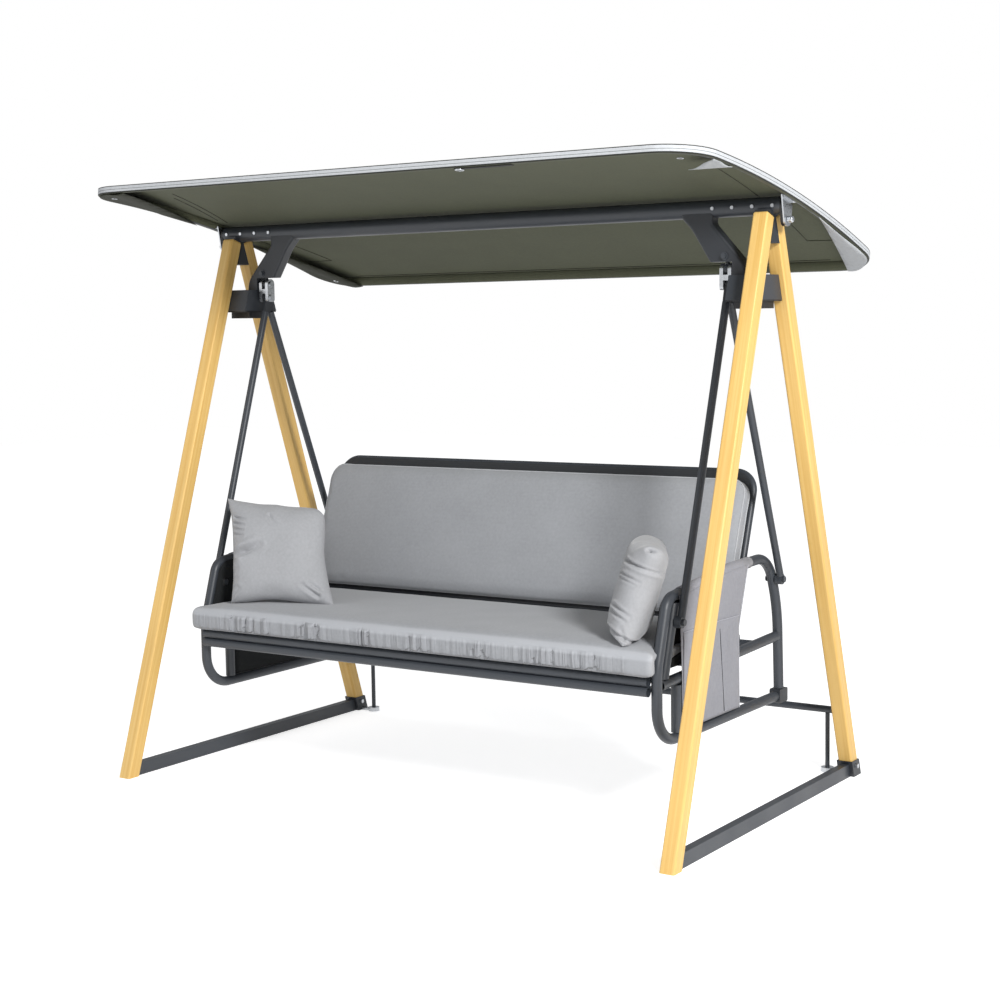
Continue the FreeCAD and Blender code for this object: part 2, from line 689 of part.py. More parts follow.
# Apex saddles: a wedge between the leg tops that carries the beam in a round seat.
def make_saddle():
    """Wedge between the leg tops, with horns that cradle the beam."""
    saddle = body("apex_saddle_right")
    foot = s.leg_top_height - s.saddle_depth
    shoulder_out = top_offset - leg_half_across
    shoulder_up = s.leg_top_height - leg_half_rise
    horn_out = top_offset + leg_half_across / 2
    horn_up = s.leg_top_height + leg_half_rise / 2
    outline = (
        (inner_face(foot), foot),
        (shoulder_out, shoulder_up),
        (horn_out, horn_up),
        (horn_out, horn_up + s.saddle_horn),
        (-horn_out, horn_up + s.saddle_horn),
        (-horn_out, horn_up),
        (-shoulder_out, shoulder_up),
        (-inner_face(foot), foot),
    )
    half = s.saddle_length / 2
    slab(saddle, "YZ_Plane", s.stand_half_width - half, s.stand_half_width + half,
         lambda sketch: draw_runs(sketch, outline))
    cut(saddle, "YZ_Plane", s.stand_half_width - s.saddle_length, s.stand_half_width + s.saddle_length,
        lambda sketch: draw_circle(sketch, (NONE, s.beam_height), s.beam_radius + s.weld_gap))
    return saddle


keep_both("apex_saddles", [make_saddle()])


# Cross boxes between the legs, open below over a dark base.
def make_cross_box():
    """Sheet metal box between the two legs of an A-frame, open below."""
    box = body("cross_box_right")
    foot = s.cross_box_top - s.cross_box_height
    outline = (
        (inner_face(foot), foot),
        (inner_face(s.cross_box_top), s.cross_box_top),
        (-inner_face(s.cross_box_top), s.cross_box_top),
        (-inner_face(foot), foot),
    )
    slab(box, "YZ_Plane", s.cross_box_inner, s.cross_box_outer, lambda sketch: draw_runs(sketch, outline))
    wall = s.cross_box_wall
    room = s.cross_box_top - wall
    hollow = (
        (inner_face(foot) - wall * lean_stretch, foot),
        (inner_face(room) - wall * lean_stretch, room),
        (-inner_face(room) + wall * lean_stretch, room),
        (-inner_face(foot) + wall * lean_stretch, foot),
    )
    cut(box, "YZ_Plane", s.cross_box_inner + wall, s.cross_box_outer - wall,
        lambda sketch: draw_runs(sketch, hollow))
    return box


def block(name, length, width, height, x, y, z):
    """Square-cornered block between named places."""
    item = doc.addObject("Part::Box", name)
    bind(item, "Length", length)
    bind(item, "Width", width)
    bind(item, "Height", height)
    place(item, x, y, z)
    return item


def make_cross_base():
    """Dark base under the box's rim, with a block that hangs a little below it."""
    foot = s.cross_box_top - s.cross_box_height
    wall = s.cross_box_wall
    half = inner_face(foot) - wall / 2
    width = s.cross_box_outer - s.cross_box_inner
    lip = block("cross_lip", width, half * 2, wall, s.cross_box_inner, -half, foot - wall)
    inset = s.cross_base_inset
    room = inner_face(s.cross_box_top) - inset
    under = block("cross_block", width - inset * 2, room * 2, s.cross_base_height,
                  s.cross_box_inner + inset, -room, foot - wall - s.cross_base_height)
    return fused("cross_base_right", [lip, under])


keep_both("cross_boxes", [make_cross_box()])
keep_both("cross_box_bases", [make_cross_base()])


# Corner braces: flat oval arms that flare into the beam, curve down and stand on the cross boxes.
def make_brace():
    """Curved arm from the beam to the cross box, with a hole for the hanging eye."""
    brace = body("corner_brace_right")
    step = s.cross_box_inner - s.brace_foot_step
    outline = (
        (s.brace_inner_top, s.beam_height),
        (s.brace_inner_flare, s.brace_flare_height, s.brace_flare),
        (s.brace_inner_neck, s.brace_neck_height, s.brace_bend),
        (s.brace_inner_foot, s.hang_seat_height),
        (step, s.hang_seat_height),
        (step, s.cross_box_top),
        (s.brace_inner_foot + s.brace_foot_width, s.cross_box_top),
        (s.brace_inner_foot + s.brace_foot_width - s.brace_hip_step, s.brace_hip_height, s.brace_hip),
        (s.brace_outer_waist, s.brace_waist_height, s.brace_flare),
        (s.brace_outer_top, s.beam_height),
    )
    half = s.brace_depth / 2
    slab(brace, "XZ_Plane", -half, half, lambda sketch: draw_runs(sketch, outline))
    floor = s.hang_seat_height.value + s.side_gap.value
    roof = s.beam_height.value - s.beam_radius.value - s.brace_round.value

    def long_edge(edge):
        box = edge.BoundBox
        return box.YLength < s.side_gap.value and box.ZMax > floor and box.ZMin < roof

    round_edges(brace, s.brace_round, long_edge)
    cut(brace, "YZ_Plane", NONE, s.stand_half_width * 2,
        lambda sketch: draw_circle(sketch, (NONE, s.beam_height), s.beam_radius + s.weld_gap))
    cut(brace, "XY_Plane", s.hang_seat_height - s.stem_rise, s.hang_seat_height + s.stem_rise,
        lambda sketch: draw_circle(sketch, (s.hook_side, NONE), s.stem_radius + s.weld_gap))
    cut(brace, "XZ_Plane", -s.brace_depth, s.brace_depth,
        lambda sketch: draw_circle(sketch, (s.hook_side, s.cross_bolt_height),
                                   s.cross_bolt_radius + s.weld_gap))
    return brace


def make_hang_eye():
    """Eye under the brace, on a stem that the cross bolt holds."""
    eye = body("hang_eye_right")
    half = s.eye_thickness / 2
    slab(eye, "YZ_Plane", s.hook_side - half, s.hook_side + half,
         lambda sketch: draw_circle(sketch, (NONE, s.swing_height), s.eye_radius))
    slab(eye, "XY_Plane", s.swing_height, s.hang_seat_height + s.stem_rise - s.side_gap,
         lambda sketch: draw_circle(sketch, (s.hook_side, NONE), s.stem_radius))
    cut(eye, "YZ_Plane", s.hook_side - s.eye_thickness, s.hook_side + s.eye_thickness,
        lambda sketch: draw_circle(sketch, (NONE, s.swing_height), s.pin_radius + s.running_gap))
    cut(eye, "XZ_Plane", -s.brace_depth, s.brace_depth,
        lambda sketch: draw_circle(sketch, (s.hook_side, s.cross_bolt_height),
                                   s.cross_bolt_radius + s.weld_gap / 2))
    return eye


def make_cross_bolt():
    """Bolt with washers that runs front to back through the brace."""
    half = s.brace_depth / 2
    ring = half + s.washer_thickness
    tip = ring + s.bolt_head_height
    at = (s.hook_side, s.cross_bolt_height)
    return fused("cross_bolt_right", [
        rod("cross_shank", "Y", s.cross_bolt_radius, -tip, tip, *at),
        rod("front_washer", "Y", s.washer_radius, -ring, -half, *at),
        rod("rear_washer", "Y", s.washer_radius, half, ring, *at),
        rod("front_head", "Y", s.bolt_head_radius, -tip, -ring, *at),
        rod("rear_nut", "Y", s.bolt_head_radius, ring, tip, *at),
    ])


keep_both("corner_braces", [make_brace()])
keep_both("hang_eyes", [make_hang_eye()])
keep_both("brace_cross_bolts", [make_cross_bolt()])


# Base: floor stretchers, rear shoes, and the rear stretcher with its struts and pads.
strut_side = s.stand_half_width - s.strut_inset


def make_base_stretcher():
    """Rectangular tube on the floor from the front leg to the rear shoe."""
    stretcher = body("base_stretcher_right")
    rear_foot = inner_face(NONE) - s.shoe_wall * lean_stretch
    rear_top = rear_foot - lean_ratio * s.stretcher_height
    outline = (
        (-inner_face(NONE), NONE),
        (rear_foot, NONE),
        (rear_top, s.stretcher_height),
        (-inner_face(s.stretcher_height), s.stretcher_height),
    )
    half = s.stretcher_width / 2
    slab(stretcher, "YZ_Plane", s.stand_half_width - half, s.stand_half_width + half,
         lambda sketch: draw_runs(sketch, outline))

    def bore(sketch):
        inside = half - s.stretcher_wall
        low = s.stretcher_wall
        high = s.stretcher_height - s.stretcher_wall
        draw_runs(sketch, ((s.stand_half_width - inside, low), (s.stand_half_width + inside, low),
                           (s.stand_half_width + inside, high), (s.stand_half_width - inside, high)))

    cut(stretcher, "XZ_Plane", -s.foot_spread * 2, s.foot_spread * 2, bore)
    return stretcher


def make_shoe():
    """Steel shoe that the rear leg stands in."""
    shoe = body("rear_shoe_right")
    wall = s.shoe_wall * lean_stretch

    def leaning(low, high, extra):
        return (
            (inner_face(low) - extra, low),
            (outer_face(low) + extra, low),
            (outer_face(high) + extra, high),
            (inner_face(high) - extra, high),
        )

    half = s.leg_width / 2
    side = half + s.shoe_wall
    slab(shoe, "YZ_Plane", s.stand_half_width - side, s.stand_half_width + side,
         lambda sketch: draw_runs(sketch, leaning(NONE, s.shoe_height, wall)))
    cut(shoe, "YZ_Plane", s.stand_half_width - half, s.stand_half_width + half,
        lambda sketch: draw_runs(sketch, leaning(s.shoe_floor, s.shoe_height + s.shoe_floor, NONE)))
    return shoe


def make_shoe_bolt(number, sign):
    """Dome bolt on the outer or the inner side of a rear shoe."""
    face = s.stand_half_width + sign * (s.leg_width / 2 + s.shoe_wall)
    far = face + sign * s.bolt_head_height
    middle = s.foot_spread - lean_ratio * s.shoe_bolt_height
    low, high = (face, far) if sign > 0 else (far, face)
    return rod(f"shoe_bolt_{number}", "X", s.bolt_head_radius, low, high, middle, s.shoe_bolt_height)


def make_strut():
    """Thin strut from the rear bar down to its foot pad."""
    return rod("rear_strut_right", "Z", s.strut_radius, s.pad_height,
               s.rear_bar_height - s.rear_bar_radius - s.weld_gap, strut_side, s.foot_spread)


def make_pad():
    """Round foot pad with a tab to the shoe beside it."""
    disc = rod("pad_disc", "Z", s.pad_radius, NONE, s.pad_height, strut_side, s.foot_spread)
    reach = s.stand_half_width - s.leg_width / 2 - s.shoe_wall - strut_side
    tab = block("pad_tab", reach, s.pad_radius, s.pad_tab_height, strut_side,
                s.foot_spread - s.pad_radius / 2, NONE)
    return fused("strut_pad_right", [disc, tab])


def make_rear_bar():
    """Straight bar across the back of the stand."""
    end = strut_side + s.strut_radius * 2
    return tube("rear_stretcher", "XZ_Plane", -s.foot_spread,
                ((-end, s.rear_bar_height), (end, s.rear_bar_height)), s.rear_bar_radius, s.tube_wall)


keep_both("base_stretchers", [make_base_stretcher()])
keep_both("rear_shoes", [make_shoe()])
keep_both("shoe_bolts", [make_shoe_bolt(number, sign) for number, sign in enumerate((1, -1))])
keep(make_rear_bar())
keep_both("rear_struts", [make_strut()])
keep_both("strut_foot_pads", [make_pad()])


# Hangers: shackles on the eyes, apex plates, and two rods to a side.
def make_shackle():
    """Bright shackle, round over the swing pin, slotted for the eye and the apex plate."""
    shackle = body("shackle_right")
    half = s.shackle_depth / 2
    top = s.swing_height + half
    outline = (
        (-half, s.shackle_foot, s.brace_round),
        (half, s.shackle_foot, s.brace_round),
        (half, top, half - s.weld_gap),
        (-half, top, half - s.weld_gap),
    )
    side = s.shackle_width / 2
    slab(shackle, "YZ_Plane", s.hook_side - side, s.hook_side + side,
         lambda sketch: draw_runs(sketch, outline))
    slot = s.shackle_slot / 2
    bridge_top = s.swing_height - s.eye_radius - s.side_gap
    bridge_foot = s.lower_pin_height + s.apex_plate_radius + s.side_gap

    def gap(low, high):
        return lambda sketch: draw_runs(sketch, (
            (s.hook_side - slot, low), (s.hook_side + slot, low),
            (s.hook_side + slot, high), (s.hook_side - slot, high)))

    cut(shackle, "XZ_Plane", -s.shackle_depth, s.shackle_depth, gap(bridge_top, top + s.side_gap))
    cut(shackle, "XZ_Plane", -s.shackle_depth, s.shackle_depth,
        gap(s.shackle_foot - s.side_gap, bridge_foot))
    for height in (s.swing_height, s.lower_pin_height):
        cut(shackle, "YZ_Plane", s.hook_side - side * 2, s.hook_side + side * 2,
            lambda sketch, at=height: draw_circle(sketch, (NONE, at), s.pin_radius))
    return shackle


def make_shackle_pin(name, height):
    """Headed pin across a shackle."""
    side = s.shackle_width / 2
    inner = s.hook_side - side
    outer = s.hook_side + side
    at = (NONE, height)
    return fused(name, [
        rod(f"{name}_shank", "X", s.pin_radius, inner, outer, *at),
        rod(f"{name}_head", "X", s.pin_head_radius, inner - s.pin_head_height, inner, *at),
        rod(f"{name}_clip", "X", s.pin_head_radius, outer, outer + s.pin_head_height, *at),
    ])


# The hanger rods' axes meet under the lower pin. Their bolts sit on the leaning upright and the rear post.
apex_height = s.lower_pin_height - s.apex_plate_radius
front_rod_height = s.arm_front_height - s.front_rod_drop
rear_rod_height = s.arm_rear_height - s.rear_rod_drop
post_slope = (s.knee_back - s.arm_rear_back) / (s.arm_rear_height - s.knee_height)
rear_rod_back = s.arm_rear_back + post_slope * (s.arm_rear_height - rear_rod_height)
upright_lean = (s.upright_foot - s.upright_top) / (s.arm_front_height - s.seat_rail_front)
front_rod_back = s.upright_foot - upright_lean * (front_rod_height - s.seat_rail_front)
front_slope = arc_tangent(front_rod_back, apex_height - front_rod_height)
rear_slope = arc_tangent(rear_rod_back, apex_height - rear_rod_height)


def rod_top(sign, slope, offset):
    """Corner of a rod's upper end face, at an offset from its axis."""
    back = s.apex_reach * sine(slope) + offset * cosine(slope)
    height = apex_height - s.apex_reach * cosine(slope) + offset * sine(slope)
    return sign * back, height


def make_apex_plate():
    """Plate in the shackle's slot that the two rods are welded to."""
    plate = body("hanger_apex_right")
    half = s.eye_thickness / 2
    slab(plate, "YZ_Plane", s.hook_side - half, s.hook_side + half,
         lambda sketch: draw_circle(sketch, (NONE, s.lower_pin_height), s.apex_plate_radius))
    outline = (
        (-s.apex_plate_radius, s.lower_pin_height),
        rod_top(-1, front_slope, s.rod_radius),
        rod_top(-1, front_slope, -s.rod_radius),
        rod_top(1, rear_slope, -s.rod_radius),
        rod_top(1, rear_slope, s.rod_radius),
        (s.apex_plate_radius, s.lower_pin_height),
    )
    slab(plate, "YZ_Plane", s.hook_side - half, s.hook_side + half,
         lambda sketch: draw_runs(sketch, outline))
    cut(plate, "YZ_Plane", s.hook_side - s.eye_thickness, s.hook_side + s.eye_thickness,
        lambda sketch: draw_circle(sketch, (NONE, s.lower_pin_height), s.pin_radius))
    return plate


def make_hanger_rod(label, sign, slope, back, height):
    """Straight rod with a flattened eye at its lower end."""
    end_back = back - s.rod_lap * sine(slope)
    end_height = height + s.rod_lap * cosine(slope)
    item = tube(label, "YZ_Plane", s.hook_side,
                (rod_top(sign, slope, NONE), (sign * end_back, end_height)), s.rod_radius, s.rod_wall)
    low = s.frame_side + s.tube_radius + s.weld_gap
    slab(item, "YZ_Plane", low, low + s.rod_eye_thickness,
         lambda sketch: draw_circle(sketch, (sign * back, height), s.rod_eye_radius))
    cut(item, "YZ_Plane", low - s.rod_eye_thickness, low + s.rod_eye_thickness * 2,
        lambda sketch: draw_circle(sketch, (sign * back, height), s.rod_bolt_radius + s.weld_gap / 2))
    return item


def make_rod_bolt(name, back, height):
    """Bolt through the side frame and a rod's eye, with a head inside and a dome nut outside."""
    outer = s.frame_side + s.tube_radius + s.weld_gap * 2 + s.rod_eye_thickness
    inner = s.frame_side - s.tube_radius - s.weld_gap
    at = (back, height)
    return fused(name, [
        rod(f"{name}_shank", "X", s.rod_bolt_radius, inner, outer, *at),
        rod(f"{name}_head", "X", s.nut_radius, inner - s.washer_thickness, inner, *at),
        rod(f"{name}_nut", "X", s.nut_radius, outer, outer + s.nut_height, *at),
    ])


def bore_for_bolt(item, back, height):
    """Cross hole for a rod's bolt through a side frame tube."""
    reach = s.tube_radius * 2
    cut(item, "YZ_Plane", s.frame_side - reach, s.frame_side + reach,
        lambda sketch: draw_circle(sketch, (back, height), s.rod_bolt_radius + s.weld_gap / 2))
    return item


keep_both("shackles", [make_shackle()])
keep_both("shackle_pins", [make_shackle_pin("swing_pin", s.swing_height),
                           make_shackle_pin("lower_pin", s.lower_pin_height)])
keep_both("hanger_apex_plates", [make_apex_plate()])
keep_both("hanger_rods_front", [make_hanger_rod("hanger_rod_front", -1, front_slope,
                                                front_rod_back, front_rod_height)])
keep_both("hanger_rods_rear", [make_hanger_rod("hanger_rod_rear", 1, rear_slope, rear_rod_back,
                                               rear_rod_height)])
keep_both("hanger_bolts", [make_rod_bolt("front_bolt", -front_rod_back, front_rod_height),
                           make_rod_bolt("rear_bolt", rear_rod_back, rear_rod_height)])


# Bench side frames of bent tube.
arm_rise = (s.arm_mid_height - s.arm_front_height) / (s.arm_mid_back + s.loop_top_back)
connector_front = s.rear_post_foot - s.connector_depth / 2
connector_top = s.bottom_rail_height + s.connector_height / 2
foot_slope = (s.rear_post_foot - s.knee_back) / (s.knee_height - connector_top)


def arm_at(back):
    """Height of the armrest's axis at a place on its front run."""
    return s.arm_front_height + arm_rise * (back + s.loop_top_back)


arm_split_height = arm_at(-s.split_front)


def make_front_loop():
    """Front post that leans back above the seat, with its upper and lower bend."""
    return tube("front_loop_right", "YZ_Plane", s.frame_side, (
        (-s.split_front, arm_split_height),
        (-s.loop_top_back, s.arm_front_height, s.loop_top_bend),
        (-s.front_post, s.loop_knee_height, s.loop_knee_bend),
        (-s.front_post, s.bottom_rail_height, s.front_bend),
        (-s.split_front, s.bottom_rail_height),
    ), s.tube_radius, s.tube_wall)


def make_armrest():
    """Armrest that rises to the back, turns down and becomes the rear post."""
    arm = tube("armrest_right", "YZ_Plane", s.frame_side, (
        (-s.split_front + s.weld_gap, arm_split_height),
        (s.arm_mid_back, s.arm_mid_height, s.gentle_bend),
        (s.arm_rear_back, s.arm_rear_height, s.rear_bend),
        (s.knee_back, s.knee_height, s.gentle_bend),
        (s.rear_post_foot, connector_top + s.tube_radius * foot_slope + s.weld_gap),
    ), s.tube_radius, s.tube_wall)
    return bore_for_bolt(arm, rear_rod_back, rear_rod_height)


def make_bottom_rail():
    """Straight rail from the front loop to the rear connector."""
    return tube("bottom_rail_right", "YZ_Plane", s.frame_side, (
        (-s.split_front + s.weld_gap, s.bottom_rail_height),
        (connector_front - s.weld_gap, s.bottom_rail_height),
    ), s.tube_radius, s.tube_wall)


def make_connector():
    """Cast connector where the bottom rail meets the rear post."""
    connector = body("rear_connector_right")
    half = s.connector_width / 2
    low = s.bottom_rail_height - s.connector_height / 2
    back = s.rear_post_foot + s.connector_depth / 2
    round_size = s.leg_round
    outline = (
        (connector_front, low, round_size),
        (back, low, round_size),
        (back, connector_top, round_size),
        (connector_front, connector_top, round_size),
    )
    slab(connector, "YZ_Plane", s.frame_side - half, s.frame_side + half,
         lambda sketch: draw_runs(sketch, outline))
    return connector


# The seat rail runs between the front post and the rear post below its knee.
seat_rail_start = s.front_post - s.tube_radius - s.weld_gap * 3
post_at_rail = s.knee_back + foot_slope * (s.knee_height - s.seat_rail_rear)
post_half = s.tube_radius * (root(foot_slope * foot_slope + 1) + foot_slope)
seat_rail_end = post_at_rail - post_half - s.weld_gap
seat_rail_rise = (s.seat_rail_rear - s.seat_rail_front) / (seat_rail_start + seat_rail_end)


def seat_rail_at(back):
    """Height of the seat rail's axis at a place along it."""
    return s.seat_rail_front + seat_rail_rise * (back + seat_rail_start)


def make_seat_rail():
    """Rail that carries the side of the seat."""
    return tube("seat_rail_right", "YZ_Plane", s.frame_side, (
        (-seat_rail_start, s.seat_rail_front),
        (seat_rail_end, s.seat_rail_rear),
    ), s.tube_radius, s.tube_wall)


def make_uprights():
    """Leaning upright from the seat rail to the armrest, and a short upright below the seat."""
    reach = s.tube_radius + s.weld_gap
    wide = s.tube_radius * 3
    front = -s.upright_top - wide
    back = -s.upright_top + wide
    upper = tube("upright_upper", "YZ_Plane", s.frame_side, (
        (-s.upright_foot, s.seat_rail_front),
        (-s.upright_top, s.arm_front_height),
    ), s.tube_radius, s.tube_wall)
    under_arm = (
        (front, arm_at(front) - reach - s.side_gap * 2),
        (back, arm_at(back) - reach - s.side_gap * 2),
        (back, s.arm_front_height + wide),
        (front, s.arm_front_height + wide),
    )
    cut(upper, "YZ_Plane", s.frame_side - wide, s.frame_side + wide,
        lambda sketch: draw_runs(sketch, under_arm))
    front = -s.upright_foot - wide
    back = -s.upright_foot + wide
    over_rail = (
        (front, s.seat_rail_front - wide),
        (back, s.seat_rail_front - wide),
        (back, seat_rail_at(back) + reach),
        (front, seat_rail_at(front) + reach),
    )
    cut(upper, "YZ_Plane", s.frame_side - wide, s.frame_side + wide,
        lambda sketch: draw_runs(sketch, over_rail))
    bore_for_bolt(upper, -front_rod_back, front_rod_height)
    into_bend = s.lower_upright + s.tube_radius - s.front_post + s.front_bend
    bend_rise = s.front_bend - root(s.front_bend * s.front_bend - into_bend * into_bend)
    rail = seat_rail_at(-s.lower_upright)
    lower = tube("upright_lower", "YZ_Plane", s.frame_side, (
        (-s.lower_upright, s.bottom_rail_height + reach + bend_rise),
        (-s.lower_upright, rail - reach - s.side_gap),
    ), s.tube_radius, s.tube_wall)
    return [upper, lower]


keep_pair("front_loop", make_front_loop())
keep_pair("armrest", make_armrest())
keep_both("bottom_rails", [make_bottom_rail()])
keep_both("rear_connectors", [make_connector()])
keep_both("seat_rails", [make_seat_rail()])
keep_both("inner_uprights", make_uprights())


# Seat: front rails, cross tubes, sling and cushion.
frame_inside = s.frame_side - s.tube_radius - s.weld_gap


def across(label, back, height, radius):
    """Straight tube from one side frame to the other."""
    return tube(label, "XZ_Plane", -back, ((-frame_inside, height), (frame_inside, height)), radius,
                s.tube_wall)


keep(group("seat_front_rails", [
    across("front_rail_upper", -s.front_rail_back, s.front_rail_upper, s.front_rail_radius),
    across("front_rail_lower", -s.front_rail_back, s.front_rail_lower, s.front_rail_radius),
]))
keep(group("seat_cross_tubes", [
    across("seat_cross_front", -s.cross_tube_front, s.cross_tube_height, s.cross_tube_radius),
    across("seat_cross_middle", -s.cross_tube_middle, s.cross_tube_height, s.cross_tube_radius),
    across("seat_cross_rear", s.cross_tube_rear, s.cross_tube_height, s.cross_tube_radius),
]))

sling_floor = s.cross_tube_height + s.cross_tube_radius + s.weld_gap
cushion_floor = sling_floor + s.sling_thickness + s.seat_lift


def make_seat_sling():
    """Woven sling over the cross tubes."""
    return block("seat_sling", s.sling_half_width * 2, s.sling_front + s.sling_rear,
                 s.sling_thickness, -s.sling_half_width, -s.sling_front, sling_floor)


def arc_between(first, middle, last):
    """Arc through three points."""
    return Part.Arc(first, middle, last).toShape()


def line_between(first, last):
    """Straight edge between two points."""
    return Part.LineSegment(first, last).toShape()


def bowed_section(place_at, low, high, floor, roof, corner, crown, draw):
    """Cushion section: rounded corners, a crowned top and a front that draws in."""
    c = corner
    slant = c * SLANT_SHARE
    front_mid = (floor + roof) / 2
    p = place_at
    edges = [
        line_between(p(low + c, floor), p(high - c, floor)),
        arc_between(p(high - c, floor), p(high - slant, floor + slant), p(high, floor + c)),
        line_between(p(high, floor + c), p(high, roof - c)),
        arc_between(p(high, roof - c), p(high - slant, roof - slant), p(high - c, roof)),
        arc_between(p(high - c, roof), p((low + high) / 2, roof + crown), p(low + c, roof)),
        arc_between(p(low + c, roof), p(low + slant, roof - slant), p(low, roof - c)),
        arc_between(p(low, roof - c), p(low + draw, front_mid), p(low, floor + c)),
        arc_between(p(low, floor + c), p(low + slant, floor + slant), p(low + c, floor)),
    ]
    return Part.Wire(edges)


# Shares of a cushion's half length where its sections stand, with how full it is at each.
SEAT_STATION_SHARES = (
    (-1.0, 0.0), (-0.94, 0.55), (-0.6, 0.9), (0.0, 1.0), (0.6, 0.9), (0.94, 0.55), (1.0, 0.0))
END_SHARE = 0.16
SLANT_SHARE = 1 - 1 / math.sqrt(2)
CORNER_DROP_SHARE = 0.7
FRONT_DRAW_SHARE = 0.3


def make_seat_cushion():
    """Seat cushion: crowned block between the side frames, its front lip passing before them."""
    floor = cushion_floor.value
    roof = floor + s.seat_thickness.value
    sections = []
    for share, fullness in SEAT_STATION_SHARES:
        x = share * s.seat_half_width.value
        pinch = (1 - fullness) * END_SHARE * s.seat_thickness.value
        front = -s.seat_front.value + fullness * s.seat_draw.value
        back = s.seat_rear.value - fullness * s.seat_draw.value
        sections.append(bowed_section(
            lambda y, z, at=x: FreeCAD.Vector(at, y, z), front, back, floor + pinch, roof - pinch,
            s.seat_corner.value, s.seat_crown.value * fullness + s.weld_gap.value,
            -s.seat_draw.value * FRONT_DRAW_SHARE))
    shape = Part.makeLoft(sections, True, True)
    inset = END_SHARE * s.seat_thickness.value
    front = -s.seat_front.value
    lip_back = -s.front_post.value - s.tube_radius.value - s.side_gap.value * 3
    for side in (-1, 1):
        inner = side * (s.seat_half_width.value - s.seat_wing_width.value)
        outer = side * (s.seat_half_width.value + s.seat_wing_width.value)
        corner = FreeCAD.Vector(min(inner, outer), front, floor + inset)
        size = (abs(outer - inner), lip_back - front, roof - floor - 2 * inset)
        wing = Part.makeBox(*size, corner)
        outside = [edge for edge in wing.Edges if abs(edge.CenterOfMass.x) > s.seat_half_width.value]
        shape = shape.fuse(wing.makeFillet(s.seat_corner.value / 2, outside))
    cushion = doc.addObject("Part::Feature", "seat_cushion")
    cushion.Shape = shape.removeSplitter()
    cushion.Placement = FreeCAD.Placement()
    return cushion


keep(make_seat_sling())
keep(make_seat_cushion())


# Side fabrics: an outer panel with an empty pocket, and black linings between the tubes.
panel_inner = s.frame_side + s.tube_radius + s.panel_gap
panel_outer = panel_inner + s.panel_thickness
panel_foot = s.bottom_rail_height + s.tube_radius + s.panel_lift
rear_arm_rise = (s.arm_rear_height - s.arm_mid_height) / (s.arm_rear_back - s.arm_mid_back)


def rear_arm_at(back):
    """Height of the armrest's axis at a place on its rear run."""
    return s.arm_mid_height + rear_arm_rise * (back - s.arm_mid_back)


def make_panel():
    """Fabric panel that wraps the armrest as a sleeve and hangs beside the side frame."""
    panel = tube("side_panel_right", "YZ_Plane", s.frame_side, (
        (-s.sleeve_front, arm_at(-s.sleeve_front)),
        (s.arm_mid_back, s.arm_mid_height, s.gentle_bend),
        (s.sleeve_rear, rear_arm_at(s.sleeve_rear)),
    ), s.tube_radius + s.panel_thickness, s.panel_thickness - s.weld_gap)
    outline = (
        (-s.panel_front_foot, panel_foot),
        (s.panel_rear_foot, panel_foot),
        (s.panel_rear_knee, s.panel_rear_height),
        (s.panel_rear_top, rear_arm_at(s.panel_rear_top)),
        (s.arm_mid_back, s.arm_mid_height),
        (-s.panel_front_top, arm_at(-s.panel_front_top)),
        (-s.panel_front_knee, s.panel_knee_height),
    )
    slab(panel, "YZ_Plane", panel_inner, panel_outer, lambda sketch: draw_runs(sketch, outline))
    return panel


def make_pocket():
    """Empty pocket that lies flat on the panel's outside."""
    pocket = body("side_pocket_right")
    low = panel_foot + s.pocket_inset
    front = -s.panel_front_foot + s.pocket_inset
    rear = s.panel_rear_knee - s.pocket_inset
    outline = ((front, low), (rear, low), (rear, s.pocket_top), (front, s.pocket_top))
    slab(pocket, "YZ_Plane", panel_outer, panel_outer + s.pocket_thickness,
         lambda sketch: draw_runs(sketch, outline))
    return pocket


def make_upper_lining():
    """Black fabric on the inside of the side frame, from the seat to the armrest."""
    lining = body("lining_upper")
    outer = s.frame_side - s.tube_radius - s.panel_thickness - s.weld_gap
    low = seat_rail_at(s.lining_rear) + s.tube_radius + s.panel_gap
    outline = (
        (-s.front_post, low),
        (s.lining_rear, low),
        (s.lining_rear, rear_arm_at(s.lining_rear)),
        (s.arm_mid_back, s.arm_mid_height),
        (-s.loop_top_back, s.arm_front_height, s.loop_top_bend),
        (-s.front_post, s.loop_knee_height),
    )
    slab(lining, "YZ_Plane", outer - s.lining_thickness, outer,
         lambda sketch: draw_runs(sketch, outline))
    cut(lining, "YZ_Plane", outer - s.lining_thickness * 2, outer + s.lining_thickness,
        lambda sketch: draw_circle(sketch, (-front_rod_back, front_rod_height),
                                   s.nut_radius + s.side_gap))
    return lining


def make_lower_lining():
    """Black fabric between the seat rail and the bottom rail, behind the lower upright."""
    lining = body("lining_lower")
    front = -s.lower_upright + s.tube_radius + s.panel_gap
    reach = s.tube_radius + s.panel_gap
    half = s.lining_thickness / 2
    outline = (
        (front, s.bottom_rail_height + reach),
        (s.lining_rear, s.bottom_rail_height + reach),
        (s.lining_rear, seat_rail_at(s.lining_rear) - reach),
        (front, seat_rail_at(front) - reach),
    )
    slab(lining, "YZ_Plane", s.frame_side - half, s.frame_side + half,
         lambda sketch: draw_runs(sketch, outline))
    return lining


keep_pair("side_panel", make_panel())
keep_both("side_pockets", [make_pocket()])
keep_both("side_linings", [make_upper_lining(), make_lower_lining()])


# Backrest: hinge plates and pins on the bench, and a leaning frame with its sling and cushion. The
# backrest is drawn upright in its own plane, x across, z up the frame and y to the back.
back_end = s.back_side + s.back_tube_radius
plate_out = s.frame_side - s.tube_radius - s.weld_gap
plate_in = plate_out - s.hinge_plate
pin_start = s.back_side - s.back_tube_radius


